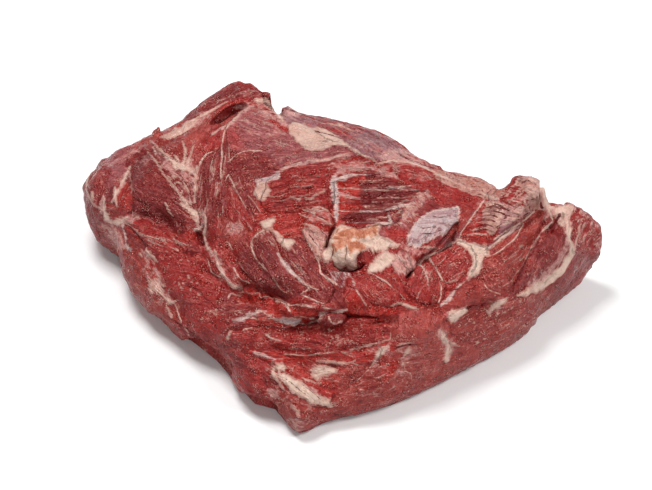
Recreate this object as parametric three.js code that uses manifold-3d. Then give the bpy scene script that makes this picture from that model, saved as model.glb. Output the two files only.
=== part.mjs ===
// A boneless joint of raw beef, lying with its boned side up.
// Units are millimetres, +Z is up, and the joint rests on the plane z = 0.
// The bare body is an outline of stations with a wall, a top and a flat contact face. Swells, ridges,
// furrows and lips push its surface in or out, gaps are cut, and the folds that lie on it are fused on.
import * as THREE from "three";
import { ParametricGeometry } from "three/addons/geometries/ParametricGeometry.js";
import { ImprovedNoise } from "three/addons/math/ImprovedNoise.js";
import { mergeGeometries, mergeVertices } from "three/addons/utils/BufferGeometryUtils.js";
import Module from "manifold-3d";

// Outline of the joint, counted round from the left end. Each row is a place on the girth, its widest line:
// [x, y, height of girth, height of rim, how far in the rim lies, how far in the floor contact lies].
const STATIONS = [
  [-200, 68, 38, 66, 46, 30],
  [-193, 39, 32, 66, 44, 28],
  [-169, 18, 28, 62, 42, 26],
  [-160, -16, 24, 58, 42, 24],
  [-140, -48, 20, 56, 40, 20],
  [-114, -74, 20, 54, 40, 18],
  [-72, -116, 16, 48, 36, 14],
  [-57, -137, 14, 42, 34, 12],
  [-37, -145, 12, 38, 30, 12],
  [-20, -165, 9, 30, 24, 12],
  [0, -154, 11, 38, 24, 10],
  [51, -137, 16, 56, 24, 9],
  [108, -103, 20, 66, 24, 9],
  [159, -66, 24, 72, 24, 10],
  [170, -48, 28, 74, 24, 12],
  [185, -34, 34, 75, 24, 14],
  [207, -13, 38, 76, 26, 16],
  [219, 2, 44, 78, 26, 18],
  [214, 14, 46, 80, 26, 18],
  [198, 19, 46, 80, 28, 20],
  [175, 22, 44, 80, 30, 20],
  [142, 48, 42, 80, 32, 22],
  [92, 70, 42, 92, 34, 22],
  [66, 95, 42, 96, 34, 22],
  [37, 118, 42, 93, 34, 22],
  [-22, 139, 44, 92, 34, 22],
  [-72, 158, 50, 104, 28, 22],
  [-97, 157, 48, 98, 34, 24],
  [-140, 124, 44, 86, 42, 26],
  [-166, 110, 42, 80, 44, 28],
  [-185, 102, 42, 74, 46, 30],
  [-199, 86, 40, 68, 46, 30],
];
const LEFT_TIP = 0;
const FRONT_TIP = 9;
const RIGHT_TIP = 18;
const BACK_TIP = 26;
const MIDDLE = new THREE.Vector2(0, 0); // the rim and the contact line lie in towards this point
const CROWN = 20; // height of the middle above the rim
const GIRTH_SHARE = 0.3; // share of the wall's faces that lie below the girth

const LONG_STEPS = 56; // faces along the front-left and back edges
const SHORT_STEPS = 42; // faces along the front-right and back-left edges
const WALL_STEPS = 10; // faces from the floor contact up to the rim
const FINE_STEPS = 600; // pieces that a stretch of the outline is measured in
const WELD = 0.01; // corners closer together than this are one

// Muscles that stand out, or hollows if the rise is below 0: middle, half-lengths, turn from +X, rise.
const SWELLS = {
  leftMound: { at: [-139, 26, 66], along: 40, across: 32, turn: 35, rise: 9 },
  leftTip: { at: [-180, 62, 62], along: 22, across: 16, turn: 60, rise: 4 },
  leftBelly: { at: [-124, -20, 58], along: 34, across: 18, turn: -45, rise: 4 },
  boneWindow: { at: [38, -4, 98], along: 32, across: 20, turn: -8, rise: -5 },
  windowShelf: { at: [-30, 30, 100], along: 36, across: 26, turn: 0, rise: 3 },
  centreLobe: { at: [40, -83, 75], along: 28, across: 14, turn: 0, rise: 5 },
  loinBlock: { at: [90, -62, 79], along: 24, across: 20, turn: 50, rise: 6 },
  middleBlock: { at: [132, -52, 76], along: 38, across: 12, turn: 50, rise: 4 },
  endBlock: { at: [171, -26, 76], along: 30, across: 12, turn: 52, rise: 4 },
  frontPanel: { at: [6, -128, 42], along: 34, across: 12, turn: 8, rise: -4 },
  frontShoulder: { at: [64, -108, 62], along: 20, across: 14, turn: 20, rise: 5 },
  tipHollow: { at: [4, -142, 34], along: 14, across: 8, turn: 35, rise: -3 },
  backShelf: { at: [20, 80, 98], along: 44, across: 14, turn: -28, rise: -5 },
};

// Raised strips: a path on the surface, half-width and rise.
const RIDGES = {
  outerArc: {
    path: [[-88, -24, 72], [-83, -41, 64], [-77, -52, 59], [-64, -61, 59]],
    width: 7,
    rise: 4,
  },
  middleArc: {
    path: [[-66, -28, 79], [-62, -46, 70], [-50, -60, 66], [-36, -74, 63]],
    width: 8,
    rise: 4,
  },
  innerArc: {
    path: [[-46, -28, 84], [-43, -50, 75], [-33, -65, 70], [-20, -78, 68]],
    width: 10,
    rise: 6,
  },
  roll: {
    path: [[-66, -84, 48], [-44, -89, 53], [-27, -90, 59], [-4, -93, 64], [34, -94, 69], [58, -92, 70]],
    width: 10,
    rise: 7,
  },
  wedge: { path: [[16, -78, 75], [18, -88, 71], [19, -98, 66]], width: 8, rise: 5 },
  ladder: { path: [[112, -44, 82], [123, -23, 85], [132, -7, 86], [143, 9, 86]], width: 14, rise: 5 },
  flap: {
    path: [[-112, 132, 84], [-91, 134, 93], [-81, 138, 97], [-71, 134, 102], [-60, 126, 103]],
    width: 11,
    rise: 3,
  },
  lowerRoll: {
    path: [[-84, -86, 42], [-65, -98, 43], [-40, -108, 43], [-10, -115, 46], [20, -118, 51]],
    width: 11,
    rise: 5,
  },
  backCap: {
    path: [[-142, 122, 32], [-95, 158, 34], [-40, 145, 34], [10, 128, 34], [64, 96, 32]],
    width: 14,
    rise: 4,
  },
  pinkLump: { path: [[-8, -18, 95], [-7, -30, 91], [-5, -46, 86]], width: 8, rise: 4 },
  tipFat: {
    path: [[-40, -124, 37], [-31, -133, 34], [-19, -142, 31], [-4, -150, 27]],
    width: 8,
    rise: 4,
  },
};

// Furrows between muscles: a path on the surface, half-width and depth.
const FURROWS = {
  besideKnob: { path: [[6, -30, 92], [3, -41, 90], [-2, -50, 86]], width: 5, depth: 6 },
  besideRibGap: {
    path: [[103, -18, 87], [95, -35, 86], [75, -56, 84], [60, -76, 78]],
    width: 9,
    depth: 6,
  },
  besideCrease: {
    path: [[-34, -103, 49], [-4, -100, 58], [33, -104, 65], [50, -103, 66]],
    width: 7,
    depth: 5,
  },
  redCrease: {
    path: [[-72, -62, 51], [-54, -71, 59], [-41, -79, 60], [-28, -87, 61]],
    width: 6,
    depth: 8,
  },
  leftHole: { path: [[-108, -13, 68], [-98, -22, 70], [-93, -30, 67]], width: 7, depth: 7 },
  leftFurrow: {
    path: [[-164, 18, 51], [-148, -8, 52], [-138, -26, 50], [-121, -58, 40], [-100, -82, 33]],
    width: 7,
    depth: 5,
  },
  moundFurrow: { path: [[-153, 20, 61], [-132, 8, 61], [-111, -10, 69]], width: 7, depth: 6 },
  middleFurrow: {
    path: [[-104, 60, 91], [-101, 30, 86], [-99, 0, 76], [-98, -22, 70]],
    width: 8,
    depth: 5,
  },
  blockFurrow: {
    path: [[171, -8, 84], [164, -27, 79], [152, -47, 70], [142, -69, 61]],
    width: 7,
    depth: 7,
  },
  ladderFurrow: {
    path: [[112, -52, 81], [124, -45, 80], [135, -32, 81], [147, -21, 84], [159, -5, 85]],
    width: 6,
    depth: 4,
  },
  endNick: { path: [[183, -6, 83], [179, -14, 80], [175, -23, 78]], width: 5, depth: 6 },
  bandCrack: { path: [[103, -92, 61], [116, -84, 60], [127, -79, 58]], width: 5, depth: 6 },
  skirtFurrow: {
    path: [[-98, -90, 27], [-88, -97, 26], [-79, -106, 23], [-70, -118, 17]],
    width: 7,
    depth: 6,
  },
  backGroove: {
    path: [
      [-150, 112, 52], [-118, 146, 56], [-80, 158, 60], [-30, 141, 58], [20, 124, 56],
      [70, 98, 54], [112, 64, 52],
    ],
    width: 9,
    depth: 5,
  },
  backSplit: { path: [[92, 72, 80], [88, 76, 55], [94, 72, 28]], width: 9, depth: 6 },
  leftSplit: { path: [[-190, 92, 62], [-199, 80, 44], [-198, 70, 24]], width: 8, depth: 4 },
  rightSplit: { path: [[196, 22, 72], [188, 24, 50], [184, 26, 24]], width: 8, depth: 4 },
  tipFurrow: {
    path: [[8, -150, 27], [18, -141, 33], [30, -133, 40], [43, -125, 50]],
    width: 7,
    depth: 5,
  },
};

// Edges of one layer on another: the surface steps up on the left of the path and fades back beyond it.
const LIPS = {
  mainEdge: {
    path: [
      [60, 41, 96], [41, 37, 100], [27, 42, 102], [15, 58, 102], [-20, 83, 100],
      [-46, 103, 99], [-56, 114, 101],
    ],
    rise: 6,
    fade: 22,
  },
  pocketEdge: {
    path: [[-58, 116, 101], [-70, 108, 100], [-82, 96, 98], [-86, 70, 96], [-84, 28, 92]],
    rise: 5,
    fade: 26,
  },
  backSeam: { path: [[136, 5, 87], [114, 20, 88], [98, 27, 89], [84, 31, 91]], rise: 4, fade: 16 },
  bandEdge: {
    path: [
      [40, -126, 50], [60, -121, 52], [85, -108, 54], [93, -99, 59], [105, -90, 61],
      [138, -73, 58],
    ],
    rise: 5,
    fade: 18,
  },
  windowSide: { path: [[4, -24, 95], [2, -3, 100], [6, 16, 102]], rise: 4, fade: 18 },
};

// Strips fused on: a path, half-width, half-thickness, and the lean of the section in degrees.
const FOLDS = {
  upright: {
    path: [[112, -34, 76], [128, -13, 84], [143, 3, 91], [154, 12, 97], [163, 18, 102]],
    width: 19,
    thickness: 8,
    lean: -8,
  },
  plate: {
    path: [[2, -42, 87], [14, -39, 88], [28, -37, 88], [42, -38, 87]],
    width: 10,
    thickness: 5,
    lean: -10,
  },
  plateEdge: { path: [[28, -34, 88], [44, -36, 88], [58, -44, 85]], width: 6, thickness: 4, lean: -10 },
  leftDrip: { path: [[6, -40, 89], [11, -52, 87], [13, -62, 84]], width: 6, thickness: 5.5, lean: 0 },
  rightDrip: { path: [[19, -42, 90], [20, -55, 87], [20, -66, 83]], width: 5, thickness: 5.5, lean: 0 },
  nearLobe: { path: [[50, -46, 86], [42, -60, 83], [30, -72, 79]], width: 7, thickness: 5, lean: -15 },
  farLobe: { path: [[52, -46, 86], [59, -55, 84], [66, -66, 80]], width: 7, thickness: 5, lean: 15 },
  curl: {
    path: [[-3, -95, 64], [1, -103, 63], [7, -103, 63], [11, -96, 66]],
    width: 3.5,
    thickness: 3.5,
    lean: 0,
  },
  tag: { path: [[-143, 101, 70], [-142, 103, 77], [-139, 106, 83]], width: 3, thickness: 3, lean: 0 },
};

// Deep gaps cut out, given like the strips: the half-thickness is the depth of the gap.
const GAPS = {
  pocket: {
    path: [[-96, 90, 97], [-86, 99, 98], [-76, 107, 100], [-63, 113, 102]],
    width: 6,
    thickness: 17,
    lean: 35,
  },
  ribGap: {
    path: [[103, -16, 87], [95, -35, 86], [87, -48, 85], [75, -56, 84], [65, -66, 81], [59, -78, 77]],
    width: 4,
    thickness: 15,
    lean: 8,
  },
  creaseGap: {
    path: [[-30, -101, 51], [-12, -99, 56], [14, -100, 63], [33, -101, 65], [52, -99, 66]],
    width: 4.5,
    thickness: 13,
    lean: 40,
  },
  cave: {
    path: [[4, -62, 81], [14, -66, 81], [25, -66, 81], [34, -62, 82]],
    width: 5,
    thickness: 9,
    lean: 20,
  },
  backNotch: {
    path: [[-58, 128, 96], [-44, 116, 96], [-34, 104, 96]],
    width: 5,
    thickness: 12,
    lean: -30,
  },
};
const FOLD_SIDES = 8; // faces round a fold
const FOLD_STEPS = 10; // faces along a fold
const BLUNT = 0.5; // how blunt a fold's two ends are
const PATH_STEPS = 24; // pieces that a curved path is measured in
const END_SHARE = 0.15; // share of a ridge, furrow or lip over which each end fades out
const LIP_SLOPE = 5; // half-width of the slope of a lip
const SURFACE_PULL = 0.7; // how far a path is drawn to the surface before its distance is measured

// Unevenness of the whole surface: [size of a lump, height of a lump].
const LUMPS = [
  [46, 2.6],
  [19, 1.3],
];
const CALM_HEIGHT = 16; // no relief at the floor, all of it from this height up
const LOWEST = 0.2; // nothing but the contact face comes nearer to the floor

const section = (row) => ({
  girth: new THREE.Vector3(row[0], row[1], row[2]),
  shape: new THREE.Vector3(row[3], row[4], row[5]),
});
const closedCurve = (points) => new THREE.CatmullRomCurve3(points, true, "catmullrom", 0.5);
const girthCurve = closedCurve(STATIONS.map((row) => section(row).girth));
const shapeCurve = closedCurve(STATIONS.map((row) => section(row).shape));
const openCurve = (path) => new THREE.CatmullRomCurve3(path.map((p) => new THREE.Vector3(...p)));
const { smoothstep, degToRad } = THREE.MathUtils;

// Curve parameters of evenly spaced places between two stations.
function evenlySpaced(from, to, steps) {
  const start = from / STATIONS.length;
  const end = (to <= from ? to + STATIONS.length : to) / STATIONS.length;
  const run = [0];
  let last = girthCurve.getPoint(start % 1);
  for (let i = 1; i <= FINE_STEPS; i++) {
    const next = girthCurve.getPoint((start + ((end - start) * i) / FINE_STEPS) % 1);
    run.push(run[i - 1] + next.distanceTo(last));
    last = next;
  }
  const places = [];
  for (let k = 0, i = 0; k < steps; k++) {
    const wanted = (run[FINE_STEPS] * k) / steps;
    while (run[i + 1] < wanted) i++;
    const share = (wanted - run[i]) / (run[i + 1] - run[i]);
    places.push((start + ((end - start) * (i + share)) / FINE_STEPS) % 1);
  }
  return places;
}

const ROUND = [
  ...evenlySpaced(LEFT_TIP, FRONT_TIP, LONG_STEPS),
  ...evenlySpaced(FRONT_TIP, RIGHT_TIP, SHORT_STEPS),
  ...evenlySpaced(RIGHT_TIP, BACK_TIP, LONG_STEPS),
  ...evenlySpaced(BACK_TIP, LEFT_TIP, SHORT_STEPS),
];

// A place on the wall: index counts round the outline, and rise goes from 0 at the floor to 1 at the rim.
function wallPoint(index, rise) {
  const t = ROUND[index % ROUND.length];
  const girth = girthCurve.getPoint(t);
  const { x: rim, y: shoulder, z: foot } = shapeCurve.getPoint(t);
  const inward = MIDDLE.clone().sub(new THREE.Vector2(girth.x, girth.y)).normalize();
  const low = rise < GIRTH_SHARE;
  const turn = (low ? rise / GIRTH_SHARE : (rise - GIRTH_SHARE) / (1 - GIRTH_SHARE)) * (Math.PI / 2);
  const inset = low ? foot * (1 - Math.sin(turn)) : shoulder * (1 - Math.cos(turn));
  const height = low ? girth.z * (1 - Math.cos(turn)) : girth.z + (rim - girth.z) * Math.sin(turn);
  return new THREE.Vector3(girth.x + inward.x * inset, girth.y + inward.y * inset, height);
}

// A place on the top, stretched between the four edges of the rim and crowned.
function topPoint(along, across) {
  const i = Math.round(along * LONG_STEPS);
  const j = Math.round(across * SHORT_STEPS);
  const rim = (index) => wallPoint(index, 1);
  const leftCorner = rim(0);
  const frontCorner = rim(LONG_STEPS);
  const rightCorner = rim(LONG_STEPS + SHORT_STEPS);
  const backCorner = rim(2 * LONG_STEPS + SHORT_STEPS);
  const point = new THREE.Vector3()
    .addScaledVector(rim(i), 1 - across)
    .addScaledVector(rim(2 * LONG_STEPS + SHORT_STEPS - i), across)
    .addScaledVector(rim(ROUND.length - j), 1 - along)
    .addScaledVector(rim(LONG_STEPS + j), along)
    .addScaledVector(leftCorner, -(1 - along) * (1 - across))
    .addScaledVector(frontCorner, -along * (1 - across))
    .addScaledVector(backCorner, -(1 - along) * across)
    .addScaledVector(rightCorner, -along * across);
  point.z += CROWN * Math.sqrt(Math.sin(Math.PI * along) * Math.sin(Math.PI * across));
  return point;
}

function contactFace() {
  const outline = ROUND.map((_, index) => wallPoint(index, 0)).map((p) => new THREE.Vector2(p.x, p.y));
  const face = new THREE.ShapeGeometry(new THREE.Shape(outline));
  const corners = face.index.array;
  for (let i = 0; i < corners.length; i += 3) [corners[i], corners[i + 1]] = [corners[i + 1], corners[i]];
  return face;
}

function positionsOnly(geometry) {
  geometry.deleteAttribute("normal");
  geometry.deleteAttribute("uv");
  return geometry;
}

function bareBody() {
  const top = new ParametricGeometry((u, v, p) => p.copy(topPoint(u, v)), LONG_STEPS, SHORT_STEPS);
  const wallAt = (u, v, p) => p.copy(wallPoint(Math.round(u * ROUND.length), v));
  const wall = new ParametricGeometry(wallAt, ROUND.length, WALL_STEPS);
  const body = mergeVertices(mergeGeometries([top, wall, contactFace()].map(positionsOnly)), WELD);
  body.computeVertexNormals();
  return body;
}

// The nearest place on a path: how far off over the surface, how far along the path, and on which side.
function nearestOn(points, point, normal) {
  const step = new THREE.Vector3();
  const offset = new THREE.Vector3();
  const best = { distance: Infinity, along: 0, side: 0 };
  for (let i = 0; i + 1 < points.length; i++) {
    step.subVectors(points[i + 1], points[i]);
    offset.subVectors(point, points[i]);
    const share = THREE.MathUtils.clamp(offset.dot(step) / step.lengthSq(), 0, 1);
    offset.addScaledVector(step, -share);
    offset.addScaledVector(normal, -SURFACE_PULL * offset.dot(normal));
    const distance = offset.length();
    if (distance < best.distance) {
      best.distance = distance;
      best.along = (i + share) / (points.length - 1);
      best.side = Math.sign(step.cross(offset).dot(normal));
    }
  }
  return best;
}

const endFade = (along) => smoothstep(along, 0, END_SHARE) * smoothstep(1 - along, 0, END_SHARE);

function swellHeight({ at, along, across, turn, rise }, point) {
  const offset = new THREE.Vector3().subVectors(point, new THREE.Vector3(...at));
  const flat = new THREE.Vector2(offset.x, offset.y).rotateAround(new THREE.Vector2(), -degToRad(turn));
  return rise * Math.exp(-((flat.x / along) ** 2) - (flat.y / across) ** 2 - (offset.z / along) ** 2);
}

function ridgeHeight({ points, width, rise }, point, normal) {
  const { distance, along } = nearestOn(points, point, normal);
  return rise * Math.exp(-((distance / width) ** 2)) * endFade(along);
}

function furrowHeight({ points, width, depth }, point, normal) {
  const { distance, along } = nearestOn(points, point, normal);
  return -depth * Math.exp(-((distance / width) ** 2)) * endFade(along);
}

function lipHeight({ points, rise, fade }, point, normal) {
  const { distance, along, side } = nearestOn(points, point, normal);
  const beyond = distance * side;
  const step = smoothstep(beyond, -LIP_SLOPE, LIP_SLOPE) * Math.exp(-Math.max(beyond, 0) / fade);
  return rise * step * endFade(along);
}

const lumps = new ImprovedNoise();
const lumpHeight = (p) =>
  LUMPS.reduce((sum, [size, height]) => sum + height * lumps.noise(p.x / size, p.y / size, p.z / size), 0);

// Pushes every place of the bare body out or in along its normal.
function withRelief(body) {
  const withPoints = (form) => ({ ...form, points: openCurve(form.path).getPoints(PATH_STEPS) });
  const measured = (forms) => Object.values(forms).map(withPoints);
  const ridges = measured(RIDGES);
  const furrows = measured(FURROWS);
  const lips = measured(LIPS);
  const places = body.attributes.position;
  const normals = body.attributes.normal;
  const point = new THREE.Vector3();
  const normal = new THREE.Vector3();
  for (let i = 0; i < places.count; i++) {
    point.fromBufferAttribute(places, i);
    normal.fromBufferAttribute(normals, i);
    let height = lumpHeight(point);
    for (const swell of Object.values(SWELLS)) height += swellHeight(swell, point);
    for (const ridge of ridges) height += ridgeHeight(ridge, point, normal);
    for (const furrow of furrows) height += furrowHeight(furrow, point, normal);
    for (const lip of lips) height += lipHeight(lip, point, normal);
    const floor = point.z;
    point.addScaledVector(normal, height * smoothstep(floor, 0, CALM_HEIGHT));
    places.setXYZ(i, point.x, point.y, floor === 0 ? 0 : Math.max(point.z, LOWEST));
  }
  return body;
}

// A tapered strip with an oval section, swept along its path.
function foldSolid({ path, width, thickness, lean }) {
  const curve = openCurve(path);
  const strip = new THREE.SphereGeometry(1, FOLD_SIDES, FOLD_STEPS);
  const places = strip.attributes.position;
  const up = new THREE.Vector3(0, 0, 1);
  for (let i = 0; i < places.count; i++) {
    const [across, along, out] = [places.getX(i), places.getY(i), places.getZ(i)];
    const share = 0.5 - Math.asin(THREE.MathUtils.clamp(along, -1, 1)) / Math.PI;
    const span = Math.sqrt(Math.max(0, 1 - along * along));
    const round = span > WELD ? span ** -BLUNT : 0;
    const ahead = curve.getTangentAt(share);
    const side = ahead.clone().cross(up).normalize();
    const lifted = side.clone().cross(ahead).applyAxisAngle(ahead, degToRad(lean));
    const sideways = side.applyAxisAngle(ahead, degToRad(lean));
    const place = curve
      .getPointAt(share)
      .addScaledVector(sideways, across * width * round)
      .addScaledVector(lifted, out * thickness * round);
    places.setXYZ(i, place.x, place.y, place.z);
  }
  return mergeVertices(positionsOnly(strip), WELD);
}

const wasm = await Module();
wasm.setup();

function solidFrom(geometry) {
  const mesh = new wasm.Mesh({
    numProp: 3,
    vertProperties: new Float32Array(geometry.attributes.position.array),
    triVerts: new Uint32Array(geometry.index.array),
  });
  const solid = new wasm.Manifold(mesh);
  if (solid.volume() > 0) return solid;
  const turned = mesh.triVerts.slice();
  for (let i = 0; i < turned.length; i += 3) [turned[i], turned[i + 1]] = [turned[i + 1], turned[i]];
  const outward = { numProp: 3, vertProperties: mesh.vertProperties, triVerts: turned };
  return new wasm.Manifold(new wasm.Mesh(outward));
}

function geometryFrom(solid) {
  const mesh = solid.getMesh();
  const geometry = new THREE.BufferGeometry();
  geometry.setAttribute("position", new THREE.BufferAttribute(mesh.vertProperties, 3));
  geometry.setIndex(new THREE.BufferAttribute(mesh.triVerts, 1));
  return geometry;
}

// Body and folds as one solid, moved so that the origin lies on the floor under the middle of its box.
function jointGeometry() {
  let solid = solidFrom(withRelief(bareBody()));
  for (const gap of Object.values(GAPS)) solid = solid.subtract(solidFrom(foldSolid(gap)));
  for (const fold of Object.values(FOLDS)) solid = solid.add(solidFrom(foldSolid(fold)));
  const geometry = geometryFrom(solid);
  geometry.computeBoundingBox();
  const middle = geometry.boundingBox.getCenter(new THREE.Vector3());
  geometry.translate(-middle.x, -middle.y, -geometry.boundingBox.min.z);
  geometry.computeVertexNormals();
  return geometry;
}

const joint = new THREE.Group();
const meat = new THREE.MeshStandardMaterial({ color: 0x9a4a46, roughness: 0.45, metalness: 0 });
const beef = new THREE.Mesh(jointGeometry(), meat);
beef.name = "beef_joint";
joint.add(beef);

export default joint;
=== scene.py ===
"""Looks of a raw, boneless beef joint that lies with its boned side up.

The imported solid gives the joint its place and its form. Its skin is remeshed finely, and named traces lay
fat, films, threads, creases and lips on it. The relief is in the mesh, and what a trace colours is kept in
attributes that the material reads. A place on the skin is given as it shows in the studio picture of 652 by
490 pixels, or round the far side as an angle and a height. The skin is worked on in millimetres, all else in
metres.
"""

import logging
import math
from dataclasses import dataclass, field
from enum import Enum

import bmesh
import bpy
import numpy as np
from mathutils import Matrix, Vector, noise
from mathutils.bvhtree import BVHTree

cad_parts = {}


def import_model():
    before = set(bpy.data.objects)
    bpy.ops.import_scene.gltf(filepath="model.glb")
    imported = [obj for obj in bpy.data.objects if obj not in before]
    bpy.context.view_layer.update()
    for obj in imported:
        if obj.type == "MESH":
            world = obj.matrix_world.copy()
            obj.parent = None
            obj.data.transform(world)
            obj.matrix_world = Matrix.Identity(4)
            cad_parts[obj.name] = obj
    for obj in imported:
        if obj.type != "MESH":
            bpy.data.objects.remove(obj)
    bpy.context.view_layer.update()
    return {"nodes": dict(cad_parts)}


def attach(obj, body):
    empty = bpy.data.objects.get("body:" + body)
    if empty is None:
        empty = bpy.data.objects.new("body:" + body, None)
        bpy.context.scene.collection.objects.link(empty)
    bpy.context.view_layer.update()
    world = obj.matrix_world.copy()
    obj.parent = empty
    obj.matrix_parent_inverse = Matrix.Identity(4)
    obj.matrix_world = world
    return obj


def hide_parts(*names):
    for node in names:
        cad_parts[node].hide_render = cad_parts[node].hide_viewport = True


LOG = logging.getLogger("beef_joint")
NODE = "beef_joint"
PIECE = "beef_joint_meat"
MM = 0.001
# How many millimetres a pixel of the studio picture covers at the joint's middle
PIXEL = 0.8
# What brings smooth noise to about -1 to 1
SWING = 1.6
# How close two corners of the solid are to be one, in metres
WELD = 1e-6
# The least that a length or a height is divided by
TINY = 1e-9


def paint(red: float, green: float, blue: float) -> tuple[float, float, float, float]:
    """Turns a screen colour into linear light.

    Args:
        red: Its red from 0 to 255.
        green: Its green from 0 to 255.
        blue: Its blue from 0 to 255.

    Returns:
        Linear red, green, blue and an alpha of 1.
    """
    parts = [c / 255 for c in (red, green, blue)]
    return (*(c / 12.92 if c <= 0.04045 else ((c + 0.055) / 1.055) ** 2.4 for c in parts), 1.0)


class Tone(Enum):
    """Colours of lean meat; SHADE is also painted shade in hollows, creases and under flaps."""

    # Painted shade in hollows, creases and under flaps, and partly the meat's deeper tone
    SHADE = paint(104, 20, 21)
    DEEP = paint(122, 30, 30)
    RED = paint(146, 30, 27)
    BRIGHT = paint(164, 32, 24)
    BROWN = paint(143, 43, 37)
    PINK = paint(154, 58, 52)
    GREY = paint(143, 70, 72)
    LILAC = paint(146, 98, 102)


class Kind(Enum):
    """What a trace or patch is."""

    FAT = 0
    FILM = 1
    WARM = 2
    VEIL = 3
    THREAD = 4
    CRACK = 5
    GROOVE = 6
    LIP = 7
    ROLL = 8
    BRIGHT = 9
    DARK = 10
    FINE = 11


@dataclass(frozen=True)
class Trace:
    """A line on the skin.

    Attributes:
        name: What the line is on the joint.
        path: Its points in turn, in pixels, or as angles and heights where it runs round the far side.
        width: Its full width in millimetres, or the widths that it goes through from end to end.
        rise: How far it stands out in millimetres, or lies in where it is below 0.
        around: Whether the path runs round the far side.
    """

    name: str
    path: str
    width: float | tuple[float, ...] = 1.4
    rise: float = 0.3
    around: bool = False


@dataclass(frozen=True)
class Patch:
    """An area on the skin.

    Attributes:
        name: What the area is on the joint.
        outline: Its corners in turn, in pixels.
        rise: How far it stands out in millimetres, or lies in where it is below 0.
        lumps: How lumpy it is, in millimetres.
        strength: How strongly a veil or a tint shows, from 0 to 1.
    """

    name: str
    outline: str
    rise: float = 0.0
    lumps: float = 0.0
    strength: float = 0.85


@dataclass(frozen=True)
class Muscle:
    """A stretch of lean meat with its own grain.

    Attributes:
        name: What it is on the joint.
        place: Its middle, or the corners of its outline in turn, in pixels.
        grain: Which way its fibres run in the picture, in degrees up from the right.
        tone: Its colour.
        flecks: How much fine fat shows in it, from 0 to 1.
        coarse: How strongly its bundles of fibres stand out.
        rise: How far its body stands out from its outline, in millimetres.
    """

    name: str
    place: str
    grain: float
    tone: Tone
    flecks: float = 0.1
    coarse: float = 1.0
    rise: float = 1.3


@dataclass(frozen=True)
class StudioView:
    """The studio camera, which also turns places in its picture into places on the joint.

    Attributes:
        target: What it looks at, in millimetres.
        distance: How far off it stands, in millimetres.
        elevation: How far above level it stands, in degrees.
        lens: Its focal length, in millimetres.
        sensor: How wide its sensor is, in millimetres.
        width: How wide its picture is, in pixels.
        height: How high its picture is, in pixels.
    """

    target: tuple[float, float, float] = (-8.43, 2.08, 45.0)
    distance: float = 1231.6
    elevation: float = 42.0
    lens: float = 85.0
    sensor: float = 36.0
    width: int = 652
    height: int = 490

    def axes(self) -> tuple[np.ndarray, np.ndarray, np.ndarray]:
        """Works out the camera's own directions.

        Returns:
            Its right, its up and the way it looks.
        """
        tilt = math.radians(self.elevation)
        right = np.array([1.0, 0.0, 0.0])
        up = np.array([0.0, math.sin(tilt), math.cos(tilt)])
        ahead = np.array([0.0, math.cos(tilt), -math.sin(tilt)])
        return right, up, ahead

    def place(self) -> np.ndarray:
        """Returns where the camera stands, in millimetres."""
        return np.array(self.target) - self.distance * self.axes()[2]

    def reach(self) -> float:
        """Returns the focal length in pixels."""
        return self.lens / self.sensor * self.width

    def rays(self, pixels: np.ndarray) -> np.ndarray:
        """Turns places in the picture into the ways that the camera sees them.

        Args:
            pixels: Rows of x and y.

        Returns:
            Rows of unit directions.
        """
        right, up, ahead = self.axes()
        across = (pixels[:, :1] - self.width / 2) * right
        down = (self.height / 2 - pixels[:, 1:2]) * up
        ways = self.reach() * ahead + across + down
        return ways / np.linalg.norm(ways, axis=1, keepdims=True)

    def picture(self, points: np.ndarray) -> np.ndarray:
        """Works out where points show in the picture.

        Args:
            points: Rows of x, y and z in millimetres.

        Returns:
            Rows of x and y in pixels.
        """
        right, up, ahead = self.axes()
        away = points - self.place()
        depth = away @ ahead
        x = self.width / 2 + self.reach() * (away @ right) / depth
        y = self.height / 2 - self.reach() * (away @ up) / depth
        return np.column_stack([x, y])

    def build(self) -> bpy.types.Object:
        """Adds the camera and makes it the scene's own.

        Returns:
            The camera's object.
        """
        camera = bpy.data.cameras.new("studio_camera")
        camera.lens = self.lens
        camera.sensor_width = self.sensor
        camera.clip_end = 20
        holder = bpy.data.objects.new("studio_camera", camera)
        holder.location = Vector(self.place() * MM)
        holder.rotation_euler = (math.radians(90 - self.elevation), 0, 0)
        bpy.context.scene.collection.objects.link(holder)
        bpy.context.scene.camera = holder
        return holder


def points_of(text: str) -> np.ndarray:
    """Reads points that are written as x,y in turn."""
    return np.array([pair.split(",") for pair in text.split()], float)


def eased(points: np.ndarray, rounds: int = 2) -> np.ndarray:
    """Rounds the corners of a path and keeps its ends.

    Args:
        points: The path's corners in turn.
        rounds: How often every corner is cut.

    Returns:
        The rounder path.
    """
    for _ in range(rounds):
        near = points[:-1] * 0.75 + points[1:] * 0.25
        far = points[:-1] * 0.25 + points[1:] * 0.75
        cut = np.stack([near, far], axis=1).reshape(-1, points.shape[1])
        points = np.vstack([points[:1], cut, points[-1:]])
    return points


def spaced(points: np.ndarray, gap: float) -> np.ndarray:
    """Places points along a path with about the same gap between them.

    Args:
        points: The path's corners in turn.
        gap: The gap.

    Returns:
        The points in turn.
    """
    steps = np.linalg.norm(np.diff(points, axis=0), axis=1)
    run = np.concatenate([[0], np.cumsum(steps)])
    stops = np.linspace(0, run[-1], max(3, int(run[-1] / gap) + 1))
    return np.column_stack([np.interp(stops, run, column) for column in points.T])


def smooth(low: float, high: float, value: np.ndarray) -> np.ndarray:
    """Goes smoothly from 0 at one value to 1 at the other."""
    part = np.clip((value - low) / (high - low), 0, 1)
    return part * part * (3 - 2 * part)


def bell(value: np.ndarray, width: np.ndarray | float) -> np.ndarray:
    """Falls smoothly from 1 at 0 to almost nothing at two widths."""
    return np.exp(-((value / width) ** 2))


def waves(spots: np.ndarray) -> np.ndarray:
    """Returns smooth noise from about -1 to 1 at rows of points, with lumps one unit wide."""
    return np.array([noise.noise(spot) for spot in spots.tolist()]) * SWING


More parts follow.
